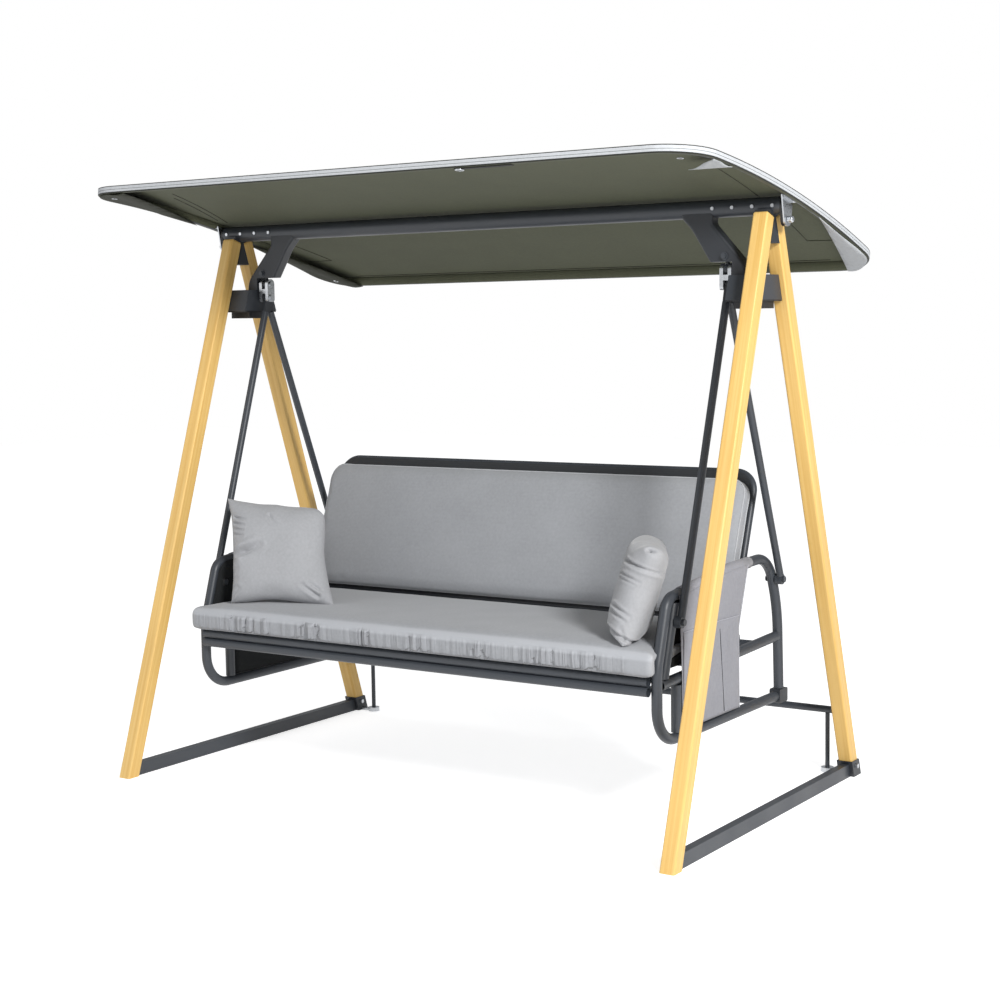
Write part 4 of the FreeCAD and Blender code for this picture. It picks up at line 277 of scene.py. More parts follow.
def woven_cloth(name, colour, edge=None):
    """Woven polyester: matt, with crossing threads and slight slubs in the yarn."""
    thread, contrast, roughness, sheen, depth = WEAVES[name]
    material, tree, place = new_material(name)
    # The real threads are under 1 mm apart; they are drawn wider so that they show in the render.
    turns = 2 * math.pi / thread
    waves = add_node(tree, "ShaderNodeVectorMath", {0: place, 3: turns}, operation="SCALE")
    threads = add_node(tree, "ShaderNodeVectorMath", {0: waves.outputs[0]}, operation="SINE")
    weave = add_node(tree, "ShaderNodeVectorMath",
                     {0: threads.outputs[0], 1: (0.5, 0.5, 0.5)}, operation="DOT_PRODUCT")
    # Slubs some 8 mm long, and a broad unevenness of dye over a hand's width.
    slub = add_node(tree, "ShaderNodeTexNoise", {"Scale": 120.0, "Detail": 4.0, "Vector": place})
    dye = add_node(tree, "ShaderNodeTexNoise", {"Scale": 9.0, "Detail": 3.0, "Vector": place})
    yarn = add_node(tree, "ShaderNodeMath",
                    {0: weave.outputs["Value"], 1: contrast, 2: slub.outputs[0]},
                    operation="MULTIPLY_ADD")
    uneven = add_node(tree, "ShaderNodeMath",
                      {0: dye.outputs[0], 1: 0.6, 2: yarn.outputs[0]}, operation="MULTIPLY_ADD")
    share = add_node(tree, "ShaderNodeMapRange",
                     {"From Min": 0.35, "From Max": 1.25, "Value": uneven.outputs[0]})
    tone = blended_colour(tree, share.outputs[0], scaled(colour, 0.88), scaled(colour, 1.1))
    bump = add_node(tree, "ShaderNodeBump",
                    {"Strength": 0.4, "Distance": depth, "Height": yarn.outputs[0]})
    if edge:
        # Painted highlight: the cloth is drawn paler over the foam's rounded front edge and its right end,
        # and it is gathered along its band. The mesh's attributes say where.
        painted_highlight = add_node(tree, "ShaderNodeAttribute", attribute_name="painted_highlight")
        gathered = add_node(tree, "ShaderNodeAttribute", attribute_name="gathered")
        tone = add_node(tree, "ShaderNodeMix",
                        {0: painted_highlight.outputs["Fac"], 6: tone, 7: (*edge, 1)},
                        data_type="RGBA").outputs[2]
        upright = add_node(tree, "ShaderNodeMapping", {"Scale": (85, 4, 6), "Vector": place})
        tucks = add_node(tree, "ShaderNodeTexNoise",
                         {"Scale": 1.0, "Detail": 2.0, "Distortion": 0.3, "Vector": upright.outputs[0]})
        height = add_node(tree, "ShaderNodeMath",
                          {0: tucks.outputs[0], 1: gathered.outputs["Fac"]}, operation="MULTIPLY")
        bump = add_node(tree, "ShaderNodeBump",
                        {"Strength": 1.0, "Distance": 0.02, "Height": height.outputs[0],
                         "Normal": bump.outputs[0]})
    close_material(tree,
                   {"Roughness": roughness, "Sheen Weight": sheen, "Sheen Roughness": 0.5,
                    "Specular IOR Level": 0.25, "Base Color": tone, "Normal": bump.outputs[0]})
    return material


def mesh_sling(name, colour):
    """PVC-coated polyester mesh, pulled taut: a dark open basket weave with a slight shine."""
    material, tree, place = new_material(name)
    # Threads 2.5 mm apart: the wave is twice that, because its lower half is turned up.
    thread = 0.0025
    waves = add_node(tree, "ShaderNodeVectorMath", {0: place, 3: math.pi / thread}, operation="SCALE")
    threads = add_node(tree, "ShaderNodeVectorMath", {0: waves.outputs[0]}, operation="SINE")
    sized = add_node(tree, "ShaderNodeVectorMath", {0: threads.outputs[0]}, operation="ABSOLUTE")
    weave = add_node(tree, "ShaderNodeVectorMath",
                     {0: sized.outputs[0], 1: (0.5, 0.5, 0.5)}, operation="DOT_PRODUCT")
    tone = blended_colour(tree, weave.outputs["Value"], scaled(colour, 0.5), scaled(colour, 1.5))
    bump = add_node(tree, "ShaderNodeBump",
                    {"Strength": 0.5, "Distance": 0.0008, "Height": weave.outputs["Value"]})
    close_material(tree, {"Roughness": 0.55, "IOR": 1.5, "Base Color": tone, "Normal": bump.outputs[0]})
    return material


def moulded_plastic(name):
    """Moulded polypropylene, black and finely grained."""
    material, tree, place = new_material(name)
    colour = bpy.context.scene.swing_colours.plastic
    # The grain is finer than 1 mm. It is drawn about 1 mm wide, so that it shows.
    grain = add_node(tree, "ShaderNodeTexNoise", {"Scale": 900.0, "Detail": 2.0, "Vector": place})
    tone = blended_colour(tree, grain.outputs[0], scaled(colour, 0.8), scaled(colour, 1.3))
    bump = add_node(tree, "ShaderNodeBump",
                    {"Strength": 0.3, "Distance": 0.0002, "Height": grain.outputs[0]})
    close_material(tree,
                   {"Roughness": 0.42, "IOR": 1.49, "Base Color": tone, "Normal": bump.outputs[0]})
    return material


# Shapes.
def linked(name, data):
    """An object of some data, added to the scene."""
    item = bpy.data.objects.new(name, data)
    bpy.context.scene.collection.objects.link(item)
    return item


def placed(name, mesh):
    """An object of a finished bmesh, added to the scene."""
    data = bpy.data.meshes.new(name)
    mesh.to_mesh(data)
    mesh.free()
    return linked(name, data)


def shell(name, mesh, materials, body, replaced=(), smooth=True):
    """Make an object of a finished bmesh, dress it and let it ride on its CAD body."""
    bmesh.ops.recalc_face_normals(mesh, faces=mesh.faces)
    return dressed(placed(name, mesh), materials, body, replaced, smooth)


def dressed(item, materials, body, replaced=(), smooth=True):
    """Give a new object its finish and its body, and hide the CAD parts that it stands for."""
    for material in materials:
        item.data.materials.append(material)
    if smooth:
        item.data.shade_smooth()
    else:
        item.data.shade_flat()
    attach(item, body)
    if replaced:
        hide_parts(*replaced)
    return item


def baked(item):
    """Replace an object's mesh with the one that its modifiers give."""
    bpy.context.view_layer.update()
    graph = bpy.context.evaluated_depsgraph_get()
    mesh = bpy.data.meshes.new_from_object(item.evaluated_get(graph))
    item.modifiers.clear()
    item.data = mesh
    return item


def slab_mesh(low, high):
    """A bmesh box from its lowest to its highest corner."""
    mesh = bmesh.new()
    size = Vector(high) - Vector(low)
    middle = (Vector(high) + Vector(low)) / 2
    bmesh.ops.create_cube(mesh, size=1, matrix=Matrix.Translation(middle) @ Matrix.Diagonal((*size, 1)))
    return mesh


def cut_across(mesh, axis, stations):
    """Divide a mesh at places along one axis."""
    for station in stations:
        bmesh.ops.bisect_plane(mesh, geom=mesh.verts[:] + mesh.edges[:] + mesh.faces[:],
                               plane_co=axis * station, plane_no=axis, dist=1e-6)


def spaced(low, high, step):
    """Evenly spaced places between two ends."""
    count = max(1, round((high - low) / step))
    return [low + (high - low) * i / count for i in range(1, count)]


def depth_edges(mesh, wanted):
    """Edges that run from front to back at the heights that are wanted."""
    return [edge for edge in mesh.edges
            if abs((edge.verts[0].co - edge.verts[1].co).normalized().y) > 0.9
            and wanted(edge.verts[0].co.z)]


def round_off(mesh, edges, radius, segments):
    """Round chosen edges."""
    bmesh.ops.bevel(mesh, geom=list(edges), offset=radius, offset_type="OFFSET", segments=segments,
                    profile=0.5, affect="EDGES", material=-1)


def voxel_shell(name, mesh, voxel):
    """Turn a closed bmesh into an evenly meshed object that can be sewn, filled and wrinkled."""
    bmesh.ops.recalc_face_normals(mesh, faces=mesh.faces)
    item = placed(name, mesh)
    even = item.modifiers.new("Even mesh", "REMESH")
    even.mode = "VOXEL"
    even.voxel_size = voxel
    soft = item.modifiers.new("Soft edges", "SMOOTH")
    soft.factor = 0.5
    soft.iterations = 5
    return baked(item)


def painted(item, name, share):
    """Write a share from 0 to 1 on each vertex, for the finish to read."""
    layer = item.data.attributes.new(name, "FLOAT", "POINT")
    layer.data.foreach_set("value", [share(vertex.co) for vertex in item.data.vertices])


def filled(item, pressure, cap):
    """Blow the cushion up from inside as its filling does, no further than the cap."""
    scene = bpy.context.scene
    rest = [vertex.co.copy() for vertex in item.data.vertices]
    cloth = item.modifiers.new("Filling", "CLOTH")
    cloth.settings.quality = 4
    cloth.settings.use_pressure = True
    cloth.settings.uniform_pressure_force = pressure
    cloth.settings.effector_weights.gravity = 0
    cloth.point_cache.frame_start = 1
    cloth.point_cache.frame_end = FILLING_FRAMES
    for step in range(1, FILLING_FRAMES + 1):
        scene.frame_set(step)
    graph = bpy.context.evaluated_depsgraph_get()
    moved = [vertex.co.copy() for vertex in item.evaluated_get(graph).data.vertices]
    item.modifiers.clear()
    scene.frame_set(1)
    for vertex, start, end in zip(item.data.vertices, rest, moved):
        step = end - start
        if step.length > cap:
            step = step * (cap / step.length)
        vertex.co = start + step


def moved_along(item, shift):
    """Move each vertex by what shift gives for its place and normal."""
    normals = [normal.vector.copy() for normal in item.data.vertex_normals]
    for vertex, normal in zip(item.data.vertices, normals):
        vertex.co = vertex.co + shift(vertex.co, normal)
    item.data.update()


def clamped(value):
    """A value held between 0 and 1."""
    return min(1, max(0, value))


def bell(value, middle, width):
    """A smooth hump that is 1 at its middle and falls away over its width."""
    return math.exp(-((value - middle) / width) ** 2)


def crowned(value, half, power):
    """1 in the middle of a cushion, falling to 0 at its edges."""
    return max(0.0, 1 - abs(value / half) ** power)


def cord_through(name, lines, radius, material, body):
    """Round cords along lines of points, as one piece."""
    curve = bpy.data.curves.new(name, "CURVE")
    curve.dimensions = "3D"
    curve.bevel_depth = radius
    curve.bevel_resolution = 2
    curve.use_fill_caps = True
    for points in lines:
        line = curve.splines.new("POLY")
        line.points.add(len(points) - 1)
        for point, place in zip(line.points, points):
            point.co = (*place, 1)
    drawn = linked(name + "_line", curve)
    bpy.context.view_layer.update()
    graph = bpy.context.evaluated_depsgraph_get()
    data = bpy.data.meshes.new_from_object(drawn.evaluated_get(graph))
    bpy.data.objects.remove(drawn)
    bpy.data.curves.remove(curve)
    data.name = name
    return dressed(linked(name, data), [material], body)


def stepped(places, step):
    """Points at even steps along a line of straight runs."""
    line = []
    for first, last in zip(places, places[1:]):
        count = max(2, round((last - first).length / step))
        line += [first.lerp(last, i / count) for i in range(count)]
    return line + [places[-1].copy()]


def snapped(points, item, lift):
    """Lay points on an object's surface, lifted by a little."""
    laid = []
    for point in points:
        found, place, normal, _ = item.closest_point_on_mesh(point)
        laid.append(place + normal * lift if found else point)
    return laid


# The canopy.
def on_arch(place, depth=0.0):
    """Lift a point of the plan on to the canopy's arch, depth below its upper face."""
    radius = ARCH_RADIUS + SHEET_ABOVE - depth
    back = place.y - ARCH_BACK
    angle = math.asin(back / (ARCH_RADIUS + SHEET_ABOVE))
    return Vector((place.x, ARCH_BACK + radius * math.sin(angle), ARCH_HEIGHT + radius * math.cos(angle)))


def outward(place, half_width, half_depth, corner):
    """Direction out of a rounded rectangle at a place near its edge."""
    inner = Vector((max(-half_width + corner, min(half_width - corner, place.x)),
                    max(-half_depth + corner, min(half_depth - corner, place.y)), 0))
    out = Vector((place.x, place.y, 0)) - inner
    return out.normalized() if out.length > 1e-6 else Vector((0, 0, 0))


def canopy_plan(mesh, half_width, half_depth, corner):
    """A rounded rectangle as one flat face."""
    bmesh.ops.create_grid(mesh, x_segments=1, y_segments=1, size=1,
                          matrix=Matrix.Diagonal((half_width, half_depth, 1, 1)))
    bmesh.ops.bevel(mesh, geom=mesh.verts[:], offset=corner, offset_type="OFFSET", segments=14,
                    profile=0.5, affect="VERTICES", material=-1)


class SWING_OT_canopy_cloth(bpy.types.Operator):
    """Sew the arched canopy sheet with its sleeve round the tubes"""

    bl_idname = "swing.canopy_cloth"
    bl_label = "Canopy cloth"

    def execute(self, context):
        sizes = context.scene.swing_sizes
        half_width, half_depth, corner = CANOPY_HALF_WIDTH, CANOPY_HALF_DEPTH, CANOPY_CORNER
        mesh = bmesh.new()
        canopy_plan(mesh, half_width, half_depth, corner)
        # Rings from the edge inwards: over the tube, the sleeve's seam and the hem's second seam.
        for width in (0.006, 0.010, 0.018, 0.024):
            bmesh.ops.inset_region(mesh, faces=[max(mesh.faces, key=lambda face: face.calc_area())],
                                   thickness=width, use_even_offset=True)
        cut_across(mesh, ACROSS, spaced(-half_width, half_width, 0.05))
        cut_across(mesh, BACK, spaced(-half_depth, half_depth, 0.025))
        rim = [edge for edge in mesh.edges if edge.is_boundary]
        sleeve = mesh.faces.layers.int.new("sleeve")
        # The sleeve goes down outside the tube, under it and back up to the sheet: how far in, how far
        # down, and the cloth, which is 0 outside, 1 underside and 2 the dark lines. These are the sewn and
        # bound lines, and at the sleeve's foot a painted shade where it turns under.
        depth = sizes.sleeve_depth
        turns = ((0.0, 0.0024, 2), (0.0, depth * 0.52, 0), (0.0, depth * 0.52 + sizes.seam_width / 2, 2),
                 (0.0, depth - 0.0022, 0), (0.0012, depth, 2), (0.004, depth + 0.001, 2),
                 (0.012, depth + 0.0015, 1), (0.020, depth - 0.002, 1), (sizes.sleeve_return, 0.0032, 1))
        plan = {vertex: (vertex.co.copy(), 0.0) for vertex in mesh.verts}
        outer = {edge_vertex: edge_vertex.co.copy() for edge in rim for edge_vertex in edge.verts}
        for inset, drop, cloth in turns:
            made = bmesh.ops.extrude_edge_only(mesh, edges=rim)["geom"]
            fresh = [item for item in made if isinstance(item, bmesh.types.BMVert)]
            following = {}
            for vertex in fresh:
                for edge in vertex.link_edges:
                    other = edge.other_vert(vertex)
                    if other in outer and other not in following.values():
                        following[vertex] = other
            starts = {}
            for vertex, source in following.items():
                start = outer[source]
                starts[vertex] = start
                out = outward(start, half_width, half_depth, corner)
                plan[vertex] = (start - out * inset, drop)
            for item in made:
                if isinstance(item, bmesh.types.BMFace):
                    item[sleeve] = cloth
            outer = starts
            rim = [item for item in made if isinstance(item, bmesh.types.BMEdge) and item.is_boundary
                   and all(end in starts for end in item.verts)]
        for vertex, (start, drop) in plan.items():
            vertex.co = on_arch(start, drop)
        for face in mesh.faces:
            face.material_index = face[sleeve]
            face.smooth = True
        bmesh.ops.remove_doubles(mesh, verts=mesh.verts, dist=1e-5)
        bmesh.ops.recalc_face_normals(mesh, faces=mesh.faces)
        top = max(mesh.faces, key=lambda face: face.calc_area())
        if top.normal.z < 0:
            bmesh.ops.reverse_faces(mesh, faces=mesh.faces)
        item = placed("canopy_cloth", mesh)
        colours = context.scene.swing_colours
        outside = woven_cloth("coated_polyester_outside", colours.canopy_outside)
        inside = woven_cloth("coated_polyester_underside", colours.canopy_inside)
        seams = woven_cloth("canopy_binding_and_painted_shade", colours.thread)
        for material in (outside, inside, seams):
            item.data.materials.append(material)
        wall = item.modifiers.new("Cloth", "SOLIDIFY")
        wall.thickness = sizes.cloth
        wall.offset = -1
        wall.material_offset = 1
        wall.use_rim = True
        dressed(baked(item), [], "canopy", ["canopy_sheet"])
        return {"FINISHED"}


def canopy_corner(side, end, edges):
    """A corner's gusset: what lies to the right of each edge, from its first place to its last."""
    part = bmesh.new()
    inside, under, sag_depth, sag_width, step = 0.006, 0.0232, 0.004, 0.06, 0.02
    canopy_plan(part, CANOPY_HALF_WIDTH - inside, CANOPY_HALF_DEPTH - inside, CANOPY_CORNER - inside)
    for first, last in edges:
        start, line = Vector((*first, 0)), Vector((last[0] - first[0], last[1] - first[1], 0))
        out = Vector((line.y, -line.x, 0)).normalized()
        bmesh.ops.bisect_plane(part, geom=part.verts[:] + part.edges[:] + part.faces[:], plane_co=start,
                               plane_no=out, clear_inner=True)
    cut_across(part, ACROSS, [side * value for value in spaced(0.86, CANOPY_HALF_WIDTH, step)])
    cut_across(part, BACK, [end * value for value in spaced(0.24, CANOPY_HALF_DEPTH, step)])
    for vertex in part.verts:
        inner = (vertex.co - start).dot(out)
        sag = sag_depth * math.sin(clamped(inner / sag_width) * math.pi)
        vertex.co = on_arch(vertex.co, under + sag)
    return part


class SWING_OT_canopy_trim(bpy.types.Operator):
    """Add the corner gussets and the sewn lines under the canopy"""

    bl_idname = "swing.canopy_trim"
    bl_label = "Canopy trim"

    def execute(self, context):
        colours = context.scene.swing_colours
        # The gussets are one cloth: the dark one is the underside colour darkened as painted shade, the
        # pale one the outside colour as painted light.
        inside = woven_cloth("gusset_painted_shade", scaled(colours.canopy_inside, 0.3))
        pale = woven_cloth("gusset_painted_light", colours.canopy_outside)
        thread = woven_cloth("canopy_sewing_thread", scaled(colours.canopy_inside, 0.3))
        # Each gusset is long along the side hem, and the right front one is a small pointed flap.
        corners = ((-1, -1, (((-0.985, -0.27), (-0.87, -0.606)),)),
                   (-1, 1, (((-0.9, 0.606), (-0.985, 0.33)),)),
                   (1, 1, (((0.981, 0.433), (0.942, 0.606)),)),
                   (1, -1, (((1.05, -0.488), (0.919, -0.38)), ((0.9, -0.38), (1.05, -0.38)))))
        gussets = bmesh.new()
        for side, end, edges in corners:
            part = canopy_corner(side, end, edges)
            data = bpy.data.meshes.new("gusset")
            part.to_mesh(data)
            part.free()
            gussets.from_mesh(data)
            bpy.data.meshes.remove(data)
        # The left gussets get the painted shade and the right ones the painted light.
        for face in gussets.faces:
            face.material_index = 1 if face.calc_center_median().x > 0 else 0
        bmesh.ops.solidify(gussets, geom=gussets.faces[:], thickness=0.0012)
        item = shell("corner_gussets", gussets, [inside, pale], "canopy",
                     ["corner_pockets"])
        # The four are cut side by side from one cloth.
        # Seams of the side hems, the corner patches, the rear hem and the join behind the beam.
        seams = (((0.96, -0.36), (0.943, -0.19), (0.893, 0.407)), ((0.893, 0.407), (0.995, 0.412)),
                 ((-0.835, -0.43), (-0.975, -0.03)), ((-0.885, -0.37), (-0.99, -0.06)),
                 ((-0.893, 0.407), (-0.995, 0.412)), ((-0.975, 0.03), (-0.893, 0.407)),
                 ((-0.95, 0.18), (0.91, 0.18)), ((-0.9, 0.56), (0.9, 0.56)))
        lines = [[on_arch(place, 0.002) for place in stepped([Vector((*spot, 0)) for spot in seam], 0.03)]
                 for seam in seams]
        sewn = cord_through("canopy_seams", lines, 0.0009, thread, "canopy")
        return {"FINISHED"}


# The cushions.
class SWING_OT_seat_cushion(bpy.types.Operator):
    """Sew and fill the seat cushion, with its rounded front edge and its wrinkled band"""

    bl_idname = "swing.seat_cushion"
    bl_label = "Seat cushion"

    def execute(self, context):
        sizes = context.scene.swing_sizes
        colours = context.scene.swing_colours
        half, wing, front, lip, rear = 0.787, 0.823, -0.431, -0.399, 0.1
        floor, roof = 0.4605, 0.524
        mesh = slab_mesh((-wing, front, floor), (wing, rear, roof))
        cut_across(mesh, ACROSS, (-half, half))
        cut_across(mesh, BACK, (lip,))
        gone = [face for face in mesh.faces
                if abs(face.calc_center_median().x) > half + TOUCH
                and face.calc_center_median().y > lip - TOUCH / 10]
        bmesh.ops.delete(mesh, geom=gone, context="FACES")
        bmesh.ops.holes_fill(mesh, edges=[edge for edge in mesh.edges if edge.is_boundary])
        bmesh.ops.recalc_face_normals(mesh, faces=mesh.faces)
        nose = [edge for edge in mesh.edges
                if all(end.co.z > roof - TOUCH and end.co.y < front + TOUCH for end in edge.verts)]
        round_off(mesh, nose, sizes.seat_edge, 6)
        sharp = [edge for edge in mesh.edges if edge.is_manifold and edge.calc_face_angle() > 1]
        round_off(mesh, sharp, 0.009, 4)
        item = voxel_shell("seat_cushion_cover", mesh, sizes.seat_voxel)
        filled(item, 4, 0.006)
        # The front band is gathered in some places: where, how wide, and how strongly.
        gathers = ((-0.615, 0.05, 1.0), (-0.517, 0.014, 0.8), (-0.343, 0.04, 0.8), (-0.14, 0.022, 0.9),
                   (0.05, 0.05, 0.5), (0.27, 0.04, 0.5), (0.48, 0.06, 0.45), (0.62, 0.05, 0.4))

        def gathering(place):
            if place.y > front + 0.012 or place.x > 0.735:
                return 0.0
            below = clamped((roof - sizes.seat_edge * 0.7 - place.z) / 0.004)
            strength = sum(force * bell(place.x, at, width) for at, width, force in gathers)
            return below * min(1, 0.25 + strength)

        def painted_highlight_share(place):
            # Painted highlight: the rounded edge's own strip, and the smooth right end, made paler.
            on_edge = clamped((place.z - roof + sizes.seat_edge) / 0.003)
            near = clamped((front + sizes.seat_edge + 0.004 - place.y) / 0.006)
            end = 0.35 * clamped((place.x - 0.735) / 0.02)
            return max(on_edge * near, end * near)

        def swell(place, normal):
            crown = sizes.seat_crown * crowned(place.x, half, 8) * crowned(
                place.y - (front + rear) / 2, (rear - front) / 2, 6)
            rise = UP * crown if normal.z > 0.3 else Vector((0, 0, 0))
            # Upright wrinkles from the band's upper seam to its lower one.
            valley = abs(noise.noise(Vector((place.x * 38, 3.1, place.z * 3))))
            pucker = gathering(place) * (0.0085 * max(0, 1 - 4.5 * valley) + 0.0025 * noise.noise(
                Vector((place.x * 90, 7.7, place.z * 9))))
            ripple = 0.0016 * noise.noise(place * 9) if normal.z > 0.5 else 0.0
            return rise + BACK * (pucker + 0.001) + UP * ripple

        moved_along(item, swell)
        painted(item, "gathered", gathering)
        painted(item, "painted_highlight", painted_highlight_share)
        # The paler edge colour is the painted highlight on the seat's front edge.
        fabric = woven_cloth("woven_polyester_seat", colours.seat, edge=scaled(colours.seat, 1.28))
        dressed(item, [fabric], "bench", ["seat_cushion"])
        return {"FINISHED"}


class SWING_OT_back_cushion(bpy.types.Operator):
    """Sew and fill the backrest cushion, with its piping"""

    bl_idname = "swing.back_cushion"
    bl_label = "Backrest cushion"

    def execute(self, context):
        sizes = context.scene.swing_sizes
        colours = context.scene.swing_colours
        half, rear, front, low, high = 0.782, -0.0155, -0.058, 0.049, 0.472
        mesh = slab_mesh((-half, front, low), (half, rear, high))
        round_off(mesh, depth_edges(mesh, lambda height: height > high - TOUCH), 0.052, 8)
        round_off(mesh, depth_edges(mesh, lambda height: height < low + TOUCH), 0.012, 3)
        sharp = [edge for edge in mesh.edges if edge.calc_face_angle() > 1]
        round_off(mesh, sharp, 0.010, 4)
        item = voxel_shell("backrest_cushion_cover", mesh, sizes.seat_voxel)
        filled(item, 4, 0.008)

        def swell(place, normal):
            crown = sizes.back_crown * crowned(place.x, half, 6) * crowned(
                place.z - (low + high) / 2, (high - low) / 2, 4)
            rise = BACK * -crown if normal.y < -0.3 else Vector((0, 0, 0))
            ripple = 0.002 * noise.noise(place * 5) if normal.y < -0.5 else 0.0
            near = max(bell(place.z, high, 0.035), bell(abs(place.x), half, 0.035))
            pucker = 0.0016 * near * noise.noise(Vector((place.x * 38, 2.2, place.z * 38)))
            return rise + BACK * (ripple + pucker)

        moved_along(item, swell)
        item.data.transform(LEAN)
        fabric = woven_cloth("woven_polyester_back", colours.seat)
        dressed(item, [fabric], "backrest", ["backrest_cushion"])
        cord = woven_cloth("piping_cord_back", colours.piping)
        # The piping goes up the left side, along the top and down the right side.
        round_by, foot = 0.05, low + 0.02
        shoulder, straight = high - round_by, half - round_by
        turn = [math.pi / 2 * i / 12 for i in range(12)]
        outline = [(-half, foot + (shoulder - foot) * i / 40) for i in range(40)]
        outline += [(-straight - round_by * math.cos(a), shoulder + round_by * math.sin(a)) for a in turn]
        outline += [(-straight + 2 * straight * i / 150, high) for i in range(150)]
        outline += [(straight + round_by * math.sin(a), shoulder + round_by * math.cos(a)) for a in turn]
        outline += [(half, shoulder - (shoulder - foot) * i / 40) for i in range(41)]
        for name, depth in (("back_piping_front", front + 0.001), ("back_piping_rear", rear - 0.004)):
            line = [LEAN @ Vector((across, depth, height)) for across, height in outline]
            piping = cord_through(name, [snapped(line, item, 0.0008)], sizes.piping_radius, cord,
                                  "backrest")
        return {"FINISHED"}


def crease(spot, start, end, width, depth):
    """A fold between two spots of a cover's face: deepest at its start, with a lip on either side."""
    start, run = Vector(start), Vector(end) - Vector(start)
    share = clamped((spot - start).dot(run) / run.length_squared)
    off = (spot - start - run * share).length
    return depth * (1 - 0.75 * share) * (0.45 * bell(off, 2.2 * width, width) - bell(off, 0, width))


def set_down(place, turn, lean):
    """A pillow's place, turned about the upright and leaning, both in degrees."""
    return (Matrix.Translation(place) @ Matrix.Rotation(math.radians(turn), 4, "Z")
            @ Matrix.Rotation(math.radians(lean), 4, "X"))


def pillow_cover(name, node, half, upper_fullness, shear, rounding, place, folds, pressed):
    """A loose pillow: two faces sewn at a seam, its sides drawn in and its foot pressed on the seat."""
    sizes = bpy.context.scene.swing_sizes
    swell, draw = sizes.pillow_swell, sizes.pillow_draw
    cells, side_fullness, foot_fullness, foot_share = 132, 3.2, 6, 0.2
    mesh = bmesh.new()
    bmesh.ops.create_grid(mesh, x_segments=cells, y_segments=cells, size=1)
    rear = bmesh.ops.duplicate(mesh, geom=mesh.faces[:])["geom"]
    behind = {item for item in rear if isinstance(item, bmesh.types.BMVert)}
    for vertex in mesh.verts:
        u, v = (math.sin(value * math.pi / 2) for value in vertex.co.xy)
        fullness = upper_fullness if v > 0 else foot_fullness
        body = math.sqrt(max(0.0, 1 - abs(u) ** side_fullness) * max(0.0, 1 - abs(v) ** fullness))
        foot_draw = draw if v > 0 else draw * foot_share
        slump = shear * (0.7 if v > 0 else 1.2) * v
        # The upper corners sink in where the filling doesn't reach them.
        pull = (rounding[1 if u > 0 else 0] if v > 0 else 0) * (u * v) ** 6
        vertex.co = Vector((u * (half - draw * (1 - v * v) - pull) - slump,
                            swell * body * (1 if vertex in behind else -1),
                            v * (half - foot_draw * (1 - u * u) - pull) - shear * max(0, u) * max(0, v)))
    bmesh.ops.remove_doubles(mesh, verts=mesh.verts, dist=0.0002)
    bmesh.ops.recalc_face_normals(mesh, faces=mesh.faces)
    item = placed(name, mesh)
    moved_along(item, lambda spot, normal: normal * folds(spot, normal))
    item.data.transform(place)
    for vertex in item.data.vertices:
        vertex.co.z = max(vertex.co.z, pressed + 0.0006 * noise.noise(vertex.co * 40))
    fabric = woven_cloth(name + "_satin_weave", bpy.context.scene.swing_colours.pillow)
    dressed(item, [fabric], "bench", [node])


